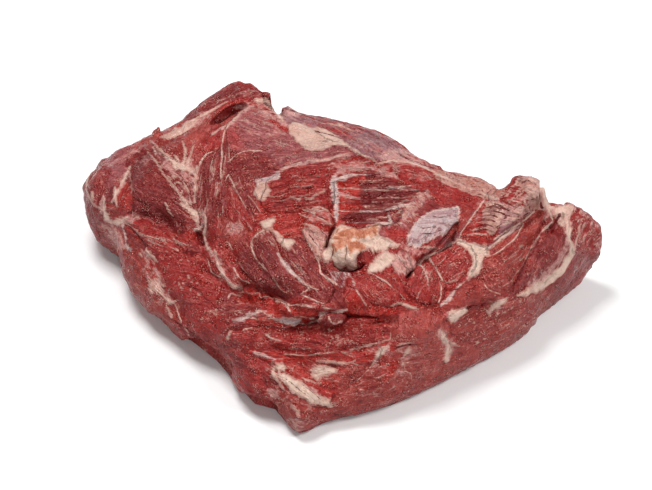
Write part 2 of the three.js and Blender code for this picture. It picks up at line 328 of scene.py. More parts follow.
def add_object(name: str, shape: bmesh.types.BMesh) -> bpy.types.Object:
    """Puts a shape into the scene as an object, and frees it.

    Args:
        name: The object's name.
        shape: The shape.

    Returns:
        The object.
    """
    mesh = bpy.data.meshes.new(name)
    shape.to_mesh(mesh)
    shape.free()
    piece = bpy.data.objects.new(name, mesh)
    bpy.context.scene.collection.objects.link(piece)
    return piece


def inside(outline: np.ndarray, points: np.ndarray) -> np.ndarray:
    """Measures how far points lie inside an outline.

    Args:
        outline: Rows of x and y, in turn round the outline.
        points: Rows of x and y.

    Returns:
        The distance to the outline, below 0 outside it.
    """
    best = np.full(len(points), np.inf)
    within = np.zeros(len(points), bool)
    for start, end in zip(outline, np.roll(outline, -1, axis=0)):
        side = end - start
        away = points - start
        share = np.clip(away @ side / max(side @ side, TINY), 0, 1)
        best = np.minimum(best, np.linalg.norm(away - share[:, None] * side, axis=1))
        crosses = (start[1] > points[:, 1]) != (end[1] > points[:, 1])
        rise = end[1] - start[1] if end[1] != start[1] else TINY
        within ^= crosses & (away[:, 0] < side[0] * away[:, 1] / rise)
    return np.where(within, best, -best)


@dataclass(frozen=True)
class Strands:
    """Many short fine lines over an area of the skin.

    Attributes:
        kind: What the lines are.
        name: What they are on the joint.
        outline: The corners of the area in turn, in pixels.
        grain: Which way they run in the picture, in degrees up from the right.
        count: How many there are.
        length: How long they mostly are, in pixels.
        width: How wide they mostly are, in millimetres.
        rise: How far they stand out in millimetres, or lie in where it is below 0.
        spread: How much their ways differ, in degrees.
    """

    kind: Kind
    name: str
    outline: str
    grain: float
    count: int
    length: float = 12.0
    width: float = 0.8
    rise: float = 0.25
    spread: float = 9.0

    def lines(self, picker: np.random.Generator) -> list[Trace]:
        """Draws the lines at random.

        Args:
            picker: Where the random numbers come from.

        Returns:
            The lines.
        """
        corners = points_of(self.outline)
        found: list[Trace] = []
        while len(found) < self.count:
            middle = picker.uniform(corners.min(0), corners.max(0))
            turn = math.radians(self.grain + picker.normal(0, self.spread))
            reach = self.length / 2 * picker.uniform(0.5, 1.4)
            way = np.array([math.cos(turn), -math.sin(turn)])
            bend = np.array([way[1], -way[0]]) * picker.normal(0, 0.15) * reach
            stops = (middle - reach * way, middle + bend, middle + reach * way)
            path = " ".join(f"{x:.2f},{y:.2f}" for x, y in stops)
            width = self.width * picker.uniform(0.6, 1.4)
            if inside(corners, middle[None])[0] > 0:
                found.append(Trace(self.name, path, (0.2, width, 0.2), self.rise * picker.uniform(0.4, 1.4)))
        return found


@dataclass(frozen=True)
class Nearby:
    """The vertices near a trace.

    Attributes:
        numbers: Their numbers.
        gap: How far each is from the line.
        side: How far each is to its left.
        past: How far each is past its end.
        half: Half of the line's width there.
        left: The way to the line's left.
    """

    numbers: np.ndarray
    gap: np.ndarray
    side: np.ndarray
    past: np.ndarray
    half: np.ndarray
    left: np.ndarray


class Skin:
    """The joint's fine skin as arrays, in millimetres, with all that is laid on it.

    Attributes:
        SIGHT: How far behind what the camera sees first a vertex may lie and still count as seen.
        BEHIND: How far behind what shows a swell still moves the body.
        OUTSIDE: How far out the looks at the far side start.
        REACH: How far from a thread or crack a vertex is said to be before any is laid.
        NEAR: How far past its edge a thread or crack is still described.
        FAR: The depth of a vertex that no fat, film or muscle's outline is near.
        AREAS: The kinds that have a depth of their own, in the order in which it is stored.
        LINES: The kinds that show as a fine line, each with how dark it is.
        BATCH: How many vertices are set against a line at a time.
    """

    SIGHT = 2.5
    BEHIND = 40.0
    OUTSIDE = 500.0
    REACH = 4.0
    NEAR = 1.4
    FAR = -6.0
    AREAS = (Kind.FAT, Kind.FILM, Kind.WARM)
    LINES = {Kind.THREAD: 0.0, Kind.FINE: 0.4, Kind.CRACK: 1.0}
    BATCH = 4000

    def __init__(self, piece: bpy.types.Object, view: StudioView) -> None:
        """Reads a piece's mesh.

        Args:
            piece: The object that holds the skin.
            view: The camera that places are given for.
        """
        self.piece = piece
        self.view = view
        mesh = piece.data
        count = len(mesh.vertices)
        self.points = self.read("co", count) / MM
        self.normals = self.read("normal", count)
        faces = [tuple(face.vertices) for face in mesh.polygons]
        self.tree = BVHTree.FromPolygons(self.points.tolist(), faces)
        self.pixels = view.picture(self.points)
        self.seen = self.find_seen()
        self.height = np.zeros(count)
        self.shift = np.zeros((count, 3))
        self.tissue = np.full((count, 3), self.FAR)
        self.line = np.tile([0.0, -3.0, 0.0], (count, 1))
        self.line_gap = np.full(count, self.REACH)
        # Painted shade of grooves and flaps' edges, how much fine fat shows, and how coarse the grain is
        self.feel = np.zeros((count, 3))
        self.lean = np.zeros((count, 3))
        # Depth inside a muscle's outline and its rise, from which the material paints an edge highlight and a
        # crease's shade, and the share of pale veil
        self.fold = np.tile([self.FAR, 0.0, 0.0], (count, 1))

    def read(self, name: str, count: int) -> np.ndarray:
        """Reads a vector of each vertex of the mesh.

        Args:
            name: The vector's name in Blender.
            count: How many vertices there are.

        Returns:
            A row of three for each vertex.
        """
        values = np.empty(count * 3, np.float32)
        self.piece.data.vertices.foreach_get(name, values)
        return values.reshape(-1, 3).astype(float)

    def find_seen(self) -> np.ndarray:
        """Finds out which vertices the camera sees.

        Returns:
            Whether it sees each of them.
        """
        place = self.view.place()
        away = self.points - place
        length = np.linalg.norm(away, axis=1)
        facing = np.einsum("ij,ij->i", away, self.normals) < 0
        seen = np.zeros(len(self.points), bool)
        start = Vector(place)
        for index in np.flatnonzero(facing):
            hit = self.tree.ray_cast(start, Vector(away[index]))
            seen[index] = hit[0] is not None and hit[3] > length[index] - self.SIGHT
        return seen

    def shown(self, outline: np.ndarray, margin: float) -> np.ndarray:
        """Returns which vertices lie in the box round an outline in the picture, seen or hidden."""
        low, high = outline.min(0) - margin, outline.max(0) + margin
        return np.all((self.pixels > low) & (self.pixels < high), axis=1)

    def on_skin(self, pixels: np.ndarray) -> np.ndarray:
        """Places pixels on the skin, and leaves out those that miss it.

        Args:
            pixels: Rows of x and y in the picture.

        Returns:
            Rows of x, y and z.
        """
        start = Vector(self.view.place())
        hits = (self.tree.ray_cast(start, Vector(way))[0] for way in self.view.rays(pixels))
        return np.array([tuple(hit) for hit in hits if hit is not None]).reshape(-1, 3)

    def round_skin(self, turns: np.ndarray) -> np.ndarray:
        """Places angles and heights on the skin, seen level from outside.

        Args:
            turns: Rows of an angle in degrees and a height.

        Returns:
            Rows of x, y and z.
        """
        places = []
        for angle, level in turns:
            way = Vector((math.cos(math.radians(angle)), math.sin(math.radians(angle)), 0))
            hit = self.tree.ray_cast(way * self.OUTSIDE + Vector((0, 0, level)), -way)[0]
            if hit is not None:
                places.append(tuple(hit))
        return np.array(places).reshape(-1, 3)

    def lay(self, trace: Trace) -> np.ndarray:
        """Places a trace on the skin.

        Args:
            trace: The line.

        Returns:
            Its points in turn, as rows of x, y and z.
        """
        corners = eased(points_of(trace.path))
        if trace.around:
            return eased(self.round_skin(spaced(corners, 1.0)))
        return self.on_skin(spaced(corners, 0.5))

    def beside(self, trace: Trace, reach: float) -> Nearby:
        """Finds the vertices near a trace.

        Args:
            trace: The line.
            reach: How far from it they may be.

        Returns:
            The vertices and where each is to the line. The line's edges are made uneven.
        """
        line = self.lay(trace)
        if len(line) < 2:
            LOG.warning("trace off the skin: %s", trace.name)
            return Nearby(np.zeros(0, int), *np.zeros((4, 0)), np.zeros((0, 3)))
        close = np.all((self.points > line.min(0) - reach) & (self.points < line.max(0) + reach), axis=1)
        numbers = np.flatnonzero(close)
        spots = self.points[numbers]
        nearest = np.zeros(len(numbers), int)
        for first in range(0, len(numbers), self.BATCH):
            batch = slice(first, first + self.BATCH)
            nearest[batch] = np.linalg.norm(spots[batch][:, None] - line[None], axis=2).argmin(1)
        away = spots - line[nearest]
        gap = np.linalg.norm(away, axis=1)
        keep = gap < reach
        numbers, nearest, away, gap = numbers[keep], nearest[keep], away[keep], gap[keep]
        course = np.gradient(line, axis=0)
        course /= np.linalg.norm(course, axis=1, keepdims=True) + TINY
        tangent = course[nearest]
        left = np.cross(self.normals[numbers], tangent)
        left /= np.linalg.norm(left, axis=1, keepdims=True) + TINY
        side = np.einsum("ij,ij->i", away, left)
        along = np.einsum("ij,ij->i", away, tangent)
        past = np.where(nearest == 0, -along, 0) + np.where(nearest == len(line) - 1, along, 0)
        widths = np.atleast_1d(np.array(trace.width, float))
        half = np.interp(nearest / (len(line) - 1), np.linspace(0, 1, len(widths)), widths) / 2
        half = half * (1.0 + 0.35 * self.rough(numbers, 7.0, 91.0)) + 0.15 * self.rough(numbers, 3.0, 97.0)
        return Nearby(numbers, gap, side, np.maximum(past, 0), half, left)

    def trace(self, kind: Kind, trace: Trace) -> None:
        """Lays one line on the skin.

        Args:
            kind: What the line is.
            trace: The line.
        """
        widest = float(np.max(trace.width))
        wide = {Kind.LIP: widest * 3.5, Kind.ROLL: widest, Kind.GROOVE: widest * 1.5}
        near = self.beside(trace, wide.get(kind, widest / 2 + 6))
        numbers, gap, half = near.numbers, near.gap, near.half
        if kind in self.AREAS:
            depth = half - gap
            self.deepen(kind, numbers, depth)
            self.height[numbers] += trace.rise * smooth(-1.0, 1.4, depth)
        elif kind is Kind.VEIL:
            self.cover(numbers, bell(gap, half + 1.2) * np.exp(-near.past / 2) * 0.95)
        elif kind in self.LINES:
            nearer = gap < self.line_gap[numbers]
            chosen = numbers[nearer]
            tone = np.full(len(chosen), self.LINES[kind])
            edge = np.where(gap[nearer] < half[nearer] + self.NEAR, half[nearer] - near.past[nearer], -3)
            self.line[chosen] = np.column_stack([near.side[nearer], edge, tone])
            self.line_gap[chosen] = gap[nearer]
            self.height[numbers] += trace.rise * bell(gap, half + 0.9)
        elif kind is Kind.GROOVE:
            cut = bell(gap, half + 0.3)
            self.height[numbers] += trace.rise * cut
            # Painted shade in the groove
            self.darken(numbers, cut * min(1.0, -trace.rise / 2.5))
        elif kind is Kind.ROLL:
            self.height[numbers] += trace.rise * np.clip(1 - (gap / (2 * half)) ** 2, 0, 1)
        elif kind is Kind.LIP:
            self.lip(trace, near)
        else:
            self.tint(kind, numbers, smooth(-1.0, 1.2, half - gap) * 0.85)

    def lip(self, trace: Trace, near: Nearby) -> None:
        """Lifts the skin to the left of a line and leans it over the line, as the edge of a flap, with painted
        shade beside it.

        Args:
            trace: The line.
            near: The vertices near it.
        """
        fade = bell(near.past, near.half + 1)
        over = near.side > 0
        up = np.exp(-np.abs(near.side) / (2 * near.half)) * fade
        down = bell(near.side, near.half * 0.7 + 0.6) * fade
        self.height[near.numbers] += np.where(over, trace.rise * up, -0.45 * trace.rise * down)
        lean = np.where(over, -0.55 * trace.rise * np.exp(-np.abs(near.side) / near.half), 0) * fade
        self.shift[near.numbers] += near.left * lean[:, None]
        # Painted shade on the low side beside the edge
        self.darken(near.numbers, np.where(over, 0, down) * min(1.0, trace.rise / 2.2))

    def deepen(self, kind: Kind, numbers: np.ndarray, depth: np.ndarray) -> None:
        """Puts some vertices at least a depth inside the fat, the film or the stained fat."""
        layer = self.tissue[:, self.AREAS.index(kind)]
        layer[numbers] = np.maximum(layer[numbers], depth)

    def cover(self, numbers: np.ndarray, share: np.ndarray) -> None:
        """Covers some vertices with at least a share of pale veil."""
        self.fold[numbers, 2] = np.maximum(self.fold[numbers, 2], share)

    def darken(self, numbers: np.ndarray, share: np.ndarray) -> None:
        """Gives some vertices at least a share of the painted shade of a groove."""
        self.feel[numbers, 0] = np.maximum(self.feel[numbers, 0], share)

    def tint(self, kind: Kind, numbers: np.ndarray, share: np.ndarray) -> None:
        """Makes the lean meat bright or dark at some vertices, and lessens its pale fibres, sheen and veil
        there.

        Args:
            kind: Whether it is bright, or dark with painted shade.
            numbers: The vertices.
            share: How far each of them takes the colour.
        """
        # The dark is painted shade in hollows, creases and under flaps, and partly a deeper tone of the meat
        colour = np.array((Tone.BRIGHT if kind is Kind.BRIGHT else Tone.SHADE).value[:3])
        self.lean[numbers] += (colour - self.lean[numbers]) * share[:, None]
        self.fold[numbers, 2] -= share

    def patch(self, kind: Kind, patch: Patch) -> None:
        """Lays one area on the skin, with an uneven edge.

        Args:
            kind: What the area is.
            patch: The area.
        """
        outline = eased(points_of(patch.outline), 1)
        numbers = np.flatnonzero(self.shown(outline, 8) & self.seen)
        depth = inside(outline, self.pixels[numbers]) * PIXEL
        depth += 0.5 + 0.8 * self.rough(numbers, 5.5, 71.0) + 0.4 * self.rough(numbers, 2.6, 83.0)
        if kind in self.AREAS:
            self.deepen(kind, numbers, np.minimum(depth, patch.strength * 10))
        elif kind is Kind.VEIL:
            self.cover(numbers, smooth(-3.0, 4.0, depth) * patch.strength)
        else:
            self.tint(kind, numbers, smooth(-2.0, 2.5, depth) * patch.strength)
        solid = smooth(-1.4, 2.4, depth)
        self.height[numbers] += patch.rise * solid
        if patch.lumps:
            self.height[numbers] += patch.lumps * solid * self.rough(numbers, 5.0)

    def swell(self, patch: Patch, upright: bool = False) -> None:
        """Moves the body out or in over an area, with what lies a little behind it.

        Args:
            patch: The area, which may reach past the joint's outline in the picture.
            upright: Whether all that lies behind it moves too, up or down in the picture.
        """
        outline = eased(points_of(patch.outline), 1)
        close = self.shown(outline, 0)
        away = np.linalg.norm(self.points - self.view.place(), axis=1)
        behind = upright | (away < np.median(away[close & self.seen]) + self.BEHIND)
        numbers = np.flatnonzero(close & behind)
        move = patch.rise * smooth(0, patch.lumps, inside(outline, self.pixels[numbers]) * PIXEL)
        if upright:
            self.shift[numbers] += self.view.axes()[1] * move[:, None]
        else:
            self.height[numbers] += move

    def rough(self, numbers: np.ndarray | slice, size: float, seed: float = 0.0) -> np.ndarray:
        """Returns smooth noise from about -1 to 1 at some vertices, for lumps of a size in millimetres."""
        return waves(self.points[numbers] / size + seed)

    def store(self, name: str, values: np.ndarray) -> None:
        """Keeps a number, a vector or a colour for each vertex as an attribute of the mesh.

        Args:
            name: The attribute's name.
            values: A number or a row for each vertex.
        """
        kinds = {1: ("FLOAT", "value"), 3: ("FLOAT_VECTOR", "vector"), 4: ("FLOAT_COLOR", "color")}
        kind, member = kinds[1 if values.ndim == 1 else values.shape[1]]
        layer = self.piece.data.attributes.new(name, kind, "POINT")
        layer.data.foreach_set(member, values.astype(np.float32).ravel())

    def finish(self) -> None:
        """Moves the vertices by the relief and stores what the material reads."""
        moved = self.points + self.normals * self.height[:, None] + self.shift
        resting = smooth(0.4, 6.0, self.points[:, 2])
        moved = self.points + (moved - self.points) * resting[:, None]
        moved[:, 2] = np.maximum(moved[:, 2], 0)
        self.piece.data.vertices.foreach_set("co", (moved * MM).astype(np.float32).ravel())
        self.piece.data.update()
        for name in ("tissue", "line", "feel", "lean", "fold"):
            self.store(name, getattr(self, name))


@dataclass
class LeanMeat:
    """The muscles of the joint: their colours, the grain of each, and the bundles that stand out along it.

    Attributes:
        layers: How many sets the muscles are shared out to, so that the grains of neighbours can blend.
        edge: How wide two muscles' grains blend, in millimetres.
        blend: How wide their colours blend, in millimetres.
        bundles: How far the bundles of fibres stand out, in millimetres.
        bundle_size: How long, wide and deep a bundle is, in millimetres.
        apart: How far apart the bundles of two muscles lie in the noise, in millimetres.
        lumps: How far large lumps stand out, in millimetres.
        small_lumps: How far small lumps stand out, in millimetres.
        shoulder: How wide the rounded edge of a muscle is, in millimetres.
        swell: What the muscles' own rises are multiplied by.
        wander: How far the borders of muscles without an outline wander, in millimetres.
        fray: How far those borders fray, in millimetres.
        stretch: How much such muscles are drawn out along the grain, from 0 to 1.
        outlined: How much further off a muscle with an outline counts outside it, in millimetres.
        leap: How far a look along the grain may land from the muscle's middle, in millimetres.
        far_muscles: How many muscles the far side has.
        far_rise: How far they stand out, in millimetres.
        far_tones: Their colours in turn.
        seed: What their places and grains are drawn from.
        muscles: The muscles that show.
        fibres: The attributes that hold the grain of each layer.
    """

    layers: int = 4
    edge: float = 1.2
    blend: float = 4.0
    bundles: float = 0.55
    bundle_size: tuple[float, float, float] = (24.0, 4.2, 4.2)
    apart: float = 17.0
    lumps: float = 0.8
    small_lumps: float = 0.35
    shoulder: float = 2.4
    swell: float = 0.75
    wander: float = 4.5
    fray: float = 1.6
    stretch: float = 0.5
    outlined: float = 60.0
    leap: float = 8.0
    far_muscles: int = 34
    far_rise: float = 1.2
    far_tones: tuple[Tone, ...] = (Tone.BROWN, Tone.RED, Tone.PINK, Tone.RED, Tone.BROWN, Tone.GREY)
    seed: int = 7
    muscles: tuple[Muscle, ...] = (
        Muscle("flap", "190,118 193,110 210,98 225,91 240,84 250,88 262,92 270,98 264,101 250,102 243,99 "
               "226,101 216,108 205,114", 24, Tone.DEEP, 0.1, 0.7, 1),
        Muscle("upper left", "160,140 178,140 184,143 186,155 183,160 175,157 165,152 158,146", -25,
               Tone.BROWN, 0.4, 1.1, 1.2),
        Muscle("left shoulder", "128,157 140,151 150,149 155,157 160,168 168,178 171,190 165,200 150,206 "
               "137,200 131,188 132,175 126,165", -28, Tone.DEEP, 0.1, 1.3, 1.5),
        Muscle("between veins", "166,172 176,180 184,184 188,196 184,204 176,198 172,186", -55, Tone.DEEP,
               0.3, 1.1, 0.9),
        Muscle("bright strip of left", "119,190 124,183 130,190 131,205 127,212 120,210 118,200", 88,
               Tone.RED, 0, 0.6, 0.7),
        Muscle("left edge", "88,200 87,188 93,178 100,170 107,163 110,170 104,182 100,195 97,212 89,216", 70,
               Tone.DEEP, 0, 0.5, 1.2),
        Muscle("inside ring", "108,208 117,209 123,213 121,220 113,222 108,217", 0, Tone.BROWN, 0.1, 0.8,
               -0.8),
        Muscle("left strip", "199,166 206,157 214,153 220,150 221,178 218,192 213,208 210,226 203,222 "
               "200,205 198,185", 84, Tone.DEEP, 0, 0.9, 1.4),
        Muscle("right strip", "223,150 228,147 228,170 224,180 227,190 227,212 218,216 219,196 222,180", 86,
               Tone.DEEP, 0.1, 0.9, 1),
        Muscle("over strips", "206,136 214,129 222,126 223,133 220,146 211,152 204,153 200,148", 60,
               Tone.RED, 0.1, 0.8, 0.8),
        Muscle("streaked left", "231,153 245,152 262,152 275,158 278,168 268,176 255,178 240,172 231,163", 2,
               Tone.DEEP, 0.5, 1.4, 0.6),
        Muscle("speckled left", "230,178 240,173 254,180 253,195 257,203 256,216 248,210 240,198", -62,
               Tone.DEEP, 0.6, 1.4, 0.8),
        Muscle("under speckled", "229,190 236,197 246,210 255,220 250,232 236,226 228,215", -72, Tone.RED,
               0.2, 0.9, 0.9),
        Muscle("dome", "228,128 240,114 252,106 262,112 270,121 283,131 284,137 297,143 304,150 285,150 "
               "262,150 240,150 231,148", -14, Tone.GREY, 0.1, 0.9, 1),
        Muscle("red side of dome", "228,130 238,126 246,134 244,148 232,148", -60, Tone.BRIGHT, 0.1, 0.8,
               0.2),
        Muscle("upper grain", "262,152 303,152 330,150 350,152 352,156 336,159 318,161 300,164 283,166 "
               "277,160", 3, Tone.GREY, 0.1, 1.4, 1.1),
        Muscle("lower grain", "284,169 300,166 320,164 345,158 372,163 379,168 365,171 345,175 331,178 "
               "328,190 331,203 322,208 310,207 290,212 270,211 262,204 271,192 272,184 280,178", 6,
               Tone.RED, 0.2, 1.5, 1.6),
        Muscle("ledge", "380,165 400,162 420,166 434,172 436,184 425,190 410,186 398,181 384,175", -14,
               Tone.RED, 0.1, 0.9),
        Muscle("window's left", "338,180 352,176 365,174 368,190 366,203 352,212 341,217 339,205 342,196", 0,
               Tone.BRIGHT, 0.4, 1.3, -1.2),
        Muscle("window's right", "366,174 380,177 398,183 412,188 414,196 410,203 392,206 372,209 366,204",
               0, Tone.DEEP, 0.1, 1.7, -1.8),
        Muscle("window's foot", "342,216 358,212 380,211 402,209 400,218 392,223 370,224 352,223", 2,
               Tone.DEEP, 0.1, 1.7, -1.8),
        Muscle("loose flap", "303,218 312,210 322,210 332,215 334,225 328,236 322,238 312,232 304,228", -20,
               Tone.BRIGHT, 0.2, 1.2, 2.2),
        Muscle("slab", "350,134 362,131 378,135 392,143 404,152 390,156 376,157 362,152 354,147", -24,
               Tone.LILAC, 0.3, 1.1, 0.8),
        Muscle("left of slab", "320,118 335,117 350,124 352,131 340,134 325,130 318,124", -14, Tone.GREY,
               0.1, 0.9, 0.9),
        Muscle("end of slab", "282,112 290,107 305,111 318,119 316,125 300,122 288,119", -20, Tone.LILAC,
               0.1, 0.7, 0.8),
        Muscle("right of ledge", "437,185 450,185 462,191 478,196 487,201 478,208 465,206 450,204 438,203 "
               "434,195", -16, Tone.RED, 0.2, 1, 1.1),
        Muscle("over fan", "430,204 440,205 456,206 459,208 445,209 430,210 421,221 415,216 420,208", -20,
               Tone.DEEP, 0.2, 0.9, 0.7),
        Muscle("brown strip", "460,205 472,208 466,218 458,232 450,240 446,236 457,222 459,212", 55,
               Tone.BROWN, 0, 0.7, 0.9),
        Muscle("ladder", "485,204 500,206 497,216 495,230 488,243 474,241 461,238 466,228 476,215", -15,
               Tone.RED, 0.2, 1.2, 0.6),
        Muscle("upright fold", "500,196 506,189 512,183 519,184 528,188 536,193 528,198 520,203 508,202",
               -14, Tone.RED, 0.1, 1.2, 0.4),
        Muscle("band by fork", "491,250 503,240 515,231 523,227 519,234 508,245 497,253", 42, Tone.PINK, 0.1,
               0.9, 1.4),
        Muscle("under fork", "484,258 497,257 512,247 524,229 536,215 545,217 540,232 530,252 520,272 "
               "510,290 495,292 485,284 481,270", 42, Tone.BROWN, 0.5, 0.9, 1.8),
        Muscle("right hollow", "546,223 552,223 551,232 557,228 563,220 566,235 567,250 560,260 548,272 "
               "530,284 516,292 514,288 524,268 536,245", 60, Tone.DEEP, 0.2, 1.1, 0.8),
        Muscle("right end", "572,210 580,205 590,212 596,228 600,245 594,252 580,252 577,240 580,228 "
               "574,225 571,240 570,218", 65, Tone.RED, 0.9, 1.2, 0.9),
        Muscle("rim under fat", "570,263 580,254 597,250 592,262 580,272 566,288 560,300 545,305 540,296 "
               "550,283 562,271", 45, Tone.DEEP, 0, 0.4, 1.2),
        Muscle("right of knuckle", "428,258 440,252 452,246 459,242 468,250 473,258 470,268 462,277 455,285 "
               "446,284 438,272 431,262", 35, Tone.RED, 0.7, 0.9, 2),
        Muscle("knuckle", "412,272 418,264 426,260 434,270 442,283 440,297 436,304 425,304 412,297 405,290 "
               "408,280", 66, Tone.RED, 0.2, 1.1, 1.8),
        Muscle("below knuckle", "458,290 466,284 480,282 492,292 505,298 492,302 480,305 466,308 452,310 "
               "440,308 446,302 456,298", 10, Tone.BROWN, 0.1, 0.5, 1.2),
        Muscle("low right", "470,310 485,308 500,303 516,299 530,291 545,285 555,300 543,310 538,325 "
               "520,334 505,345 490,352 480,345 465,340 455,330 458,319", 25, Tone.BROWN, 0.8, 1.2, 0.8),
        Muscle("right of front", "392,316 408,310 428,311 440,314 446,326 440,336 425,340 405,342 394,340 "
               "388,330", 82, Tone.PINK, 0.1, 0.6, 1.6),
        Muscle("foot on right", "405,350 420,347 440,343 446,352 455,364 430,375 405,385 385,385 380,370 "
               "390,356", 14, Tone.PINK, 0.5, 1, 0.8),
        Muscle("upper left flank", "103,228 118,228 123,240 127,252 120,262 112,250 106,238", -60,
               Tone.BROWN, 0.1, 0.7, 0.9),
        Muscle("left flank", "122,262 130,255 145,250 151,262 151,275 147,282 135,280 125,275", -55,
               Tone.BROWN, 0.1, 0.8, 1),
        Muscle("left middle", "125,216 135,217 150,222 165,230 185,238 183,252 165,255 150,247 140,238 "
               "130,228", -27, Tone.RED, 0.2, 1.1, 1.2),
        Muscle("low left", "154,256 165,256 185,256 205,257 215,275 222,290 215,300 195,305 178,302 168,292 "
               "159,278", -12, Tone.RED, 0.2, 1, 1.5),
        Muscle("bright edge of low left", "150,260 158,265 165,280 158,282 153,272", -60, Tone.BRIGHT, 0,
               0.7, 0.2),
        Muscle("inside arc", "218,252 228,250 238,262 248,275 258,287 240,288 230,284 222,272", -50,
               Tone.RED, 0.4, 1.2, 0.9),
        Muscle("right of arc", "236,241 250,238 254,257 262,273 278,286 298,297 280,298 262,290 250,279 "
               "240,263", -52, Tone.DEEP, 0.3, 1.2, 1.1),
        Muscle("pink rise", "222,218 236,224 246,227 248,236 240,246 230,244 222,235", 70, Tone.PINK, 0.3,
               0.9, 1.2),
        Muscle("left cut", "264,231 257,236 252,242 253,250 257,262 266,272 275,281 288,290 300,295 307,290 "
               "299,281 289,271 282,261 279,250 276,240 270,232", -60, Tone.DEEP, 0.4, 1, 2.2),
        Muscle("middle cut", "285,240 294,240 300,238 306,242 311,252 317,262 321,275 330,284 335,291 "
               "330,300 320,303 309,297 312,291 303,281 293,269 286,258 282,250", -50, Tone.DEEP, 0.6, 1, 2),
        Muscle("lower cut", "354,275 366,275 378,279 390,287 400,296 405,303 395,307 380,305 369,303 "
               "361,293 353,288 346,285 347,279", -28, Tone.RED, 0.3, 0.8, 2.2),
        Muscle("wedge", "350,290 356,292 362,300 365,306 359,310 352,314 346,308 343,300", -75, Tone.BRIGHT,
               0, 0.7, 2),
        Muscle("ragged pink", "304,233 315,233 325,233 327,242 322,250 318,262 312,250 306,240", -65,
               Tone.PINK, 0.5, 1.3, 1.5),
        Muscle("under middle cut", "304,298 320,304 332,303 342,306 344,310 325,311 305,311 290,308 284,302",
               -12, Tone.RED, 0.1, 1.3, 1),
        Muscle("red band", "238,292 255,290 275,296 288,304 284,312 262,306 245,303 236,298", -14,
               Tone.BRIGHT, 0, 1.4, 1.2),
        Muscle("over crease", "250,313 280,313 305,314 320,316 305,322 280,321 262,322 247,321", 2,
               Tone.BRIGHT, 0.2, 1.1, 0.9),
        Muscle("under crease", "230,331 260,328 284,334 305,330 325,326 360,325 391,322 391,336 375,343 "
               "350,349 320,351 290,350 260,348 240,345 232,338", -4, Tone.RED, 0.5, 1.3, 1.7),
        Muscle("front band", "245,351 275,355 300,358 335,355 352,353 366,351 380,347 375,358 360,361 "
               "340,362 310,361 290,362 270,360", -4, Tone.BRIGHT, 0.1, 1.1, 0.9),
        Muscle("front middle", "285,364 305,366 315,364 330,364 350,366 366,364 360,374 350,384 339,391 "
               "336,384 326,378 338,372 326,366 312,371 305,380 292,374", -10, Tone.PINK, 0.2, 1, 0.9),
        Muscle("front left", "210,346 240,351 262,360 273,366 271,382 266,400 250,400 235,388 225,372 "
               "212,358", -36, Tone.RED, 0.1, 0.9, 1.2),
        Muscle("front tip", "270,401 284,393 300,404 318,409 333,410 322,422 305,430 297,430 280,415", -10,
               Tone.BROWN, 0.2, 0.8, 0.8),
        Muscle("front right", "341,395 352,386 366,375 380,362 385,380 403,388 400,400 370,408 345,412 "
               "335,408", 13, Tone.BROWN, 0.3, 0.8, 1),
        Muscle("grey top of left", "114,160", 30, Tone.GREY, 0.1, 0.5),
        Muscle("purple left", "156,192", -35, Tone.DEEP, 0.5, 1.2),
        Muscle("purple band", "165,219", -30, Tone.DEEP, 0.3, 1.1),
        Muscle("left foot", "145,297", -45, Tone.BROWN, 0.1, 0.5),
        Muscle("second left foot", "165,320", -40, Tone.BROWN, 0, 0.5),
        Muscle("left of crease", "205,318", -25, Tone.RED, 0.1, 0.9),
        Muscle("lower left of crease", "200,335", -35, Tone.RED, 0.1, 0.9),
        Muscle("grey left of crease", "232,312", 10, Tone.DEEP, 0.5),
        Muscle("patch by pocket", "204,130", 60, Tone.PINK, 0, 0.6),
        Muscle("flap's end", "254,95", -20, Tone.RED, 0.1, 0.9),
        Muscle("beside left cut", "240,250", -60, Tone.RED, 0.3),
        Muscle("under grain", "285,225", 12, Tone.BRIGHT, 0.4),
        Muscle("beside cleft", "432,232", 55, Tone.RED, 0.1, 0.7),
        Muscle("under lump", "392,282", -60, Tone.RED),
        Muscle("left of lower cut", "334,296", -62, Tone.DEEP, 0.1, 0.8),
        Muscle("over right of crease", "392,312", 6, Tone.BRIGHT, 0.2, 0.8),
        Muscle("foot of low right", "480,355", 25, Tone.BROWN, 0.1, 0.5),
        Muscle("second foot of low right", "515,330", 35, Tone.BROWN, 0.1, 0.5),
        Muscle("foot of front right", "420,385", 14, Tone.BROWN, 0.2, 0.6),
        Muscle("fan", "435,225", -4, Tone.LILAC, 0, 1.2),
        Muscle("ragged window", "408,212", -50, Tone.PINK, 0.2, 1.3),
    )
    fibres: tuple[str, ...] = ("grain_0", "grain_1", "grain_2", "grain_3")

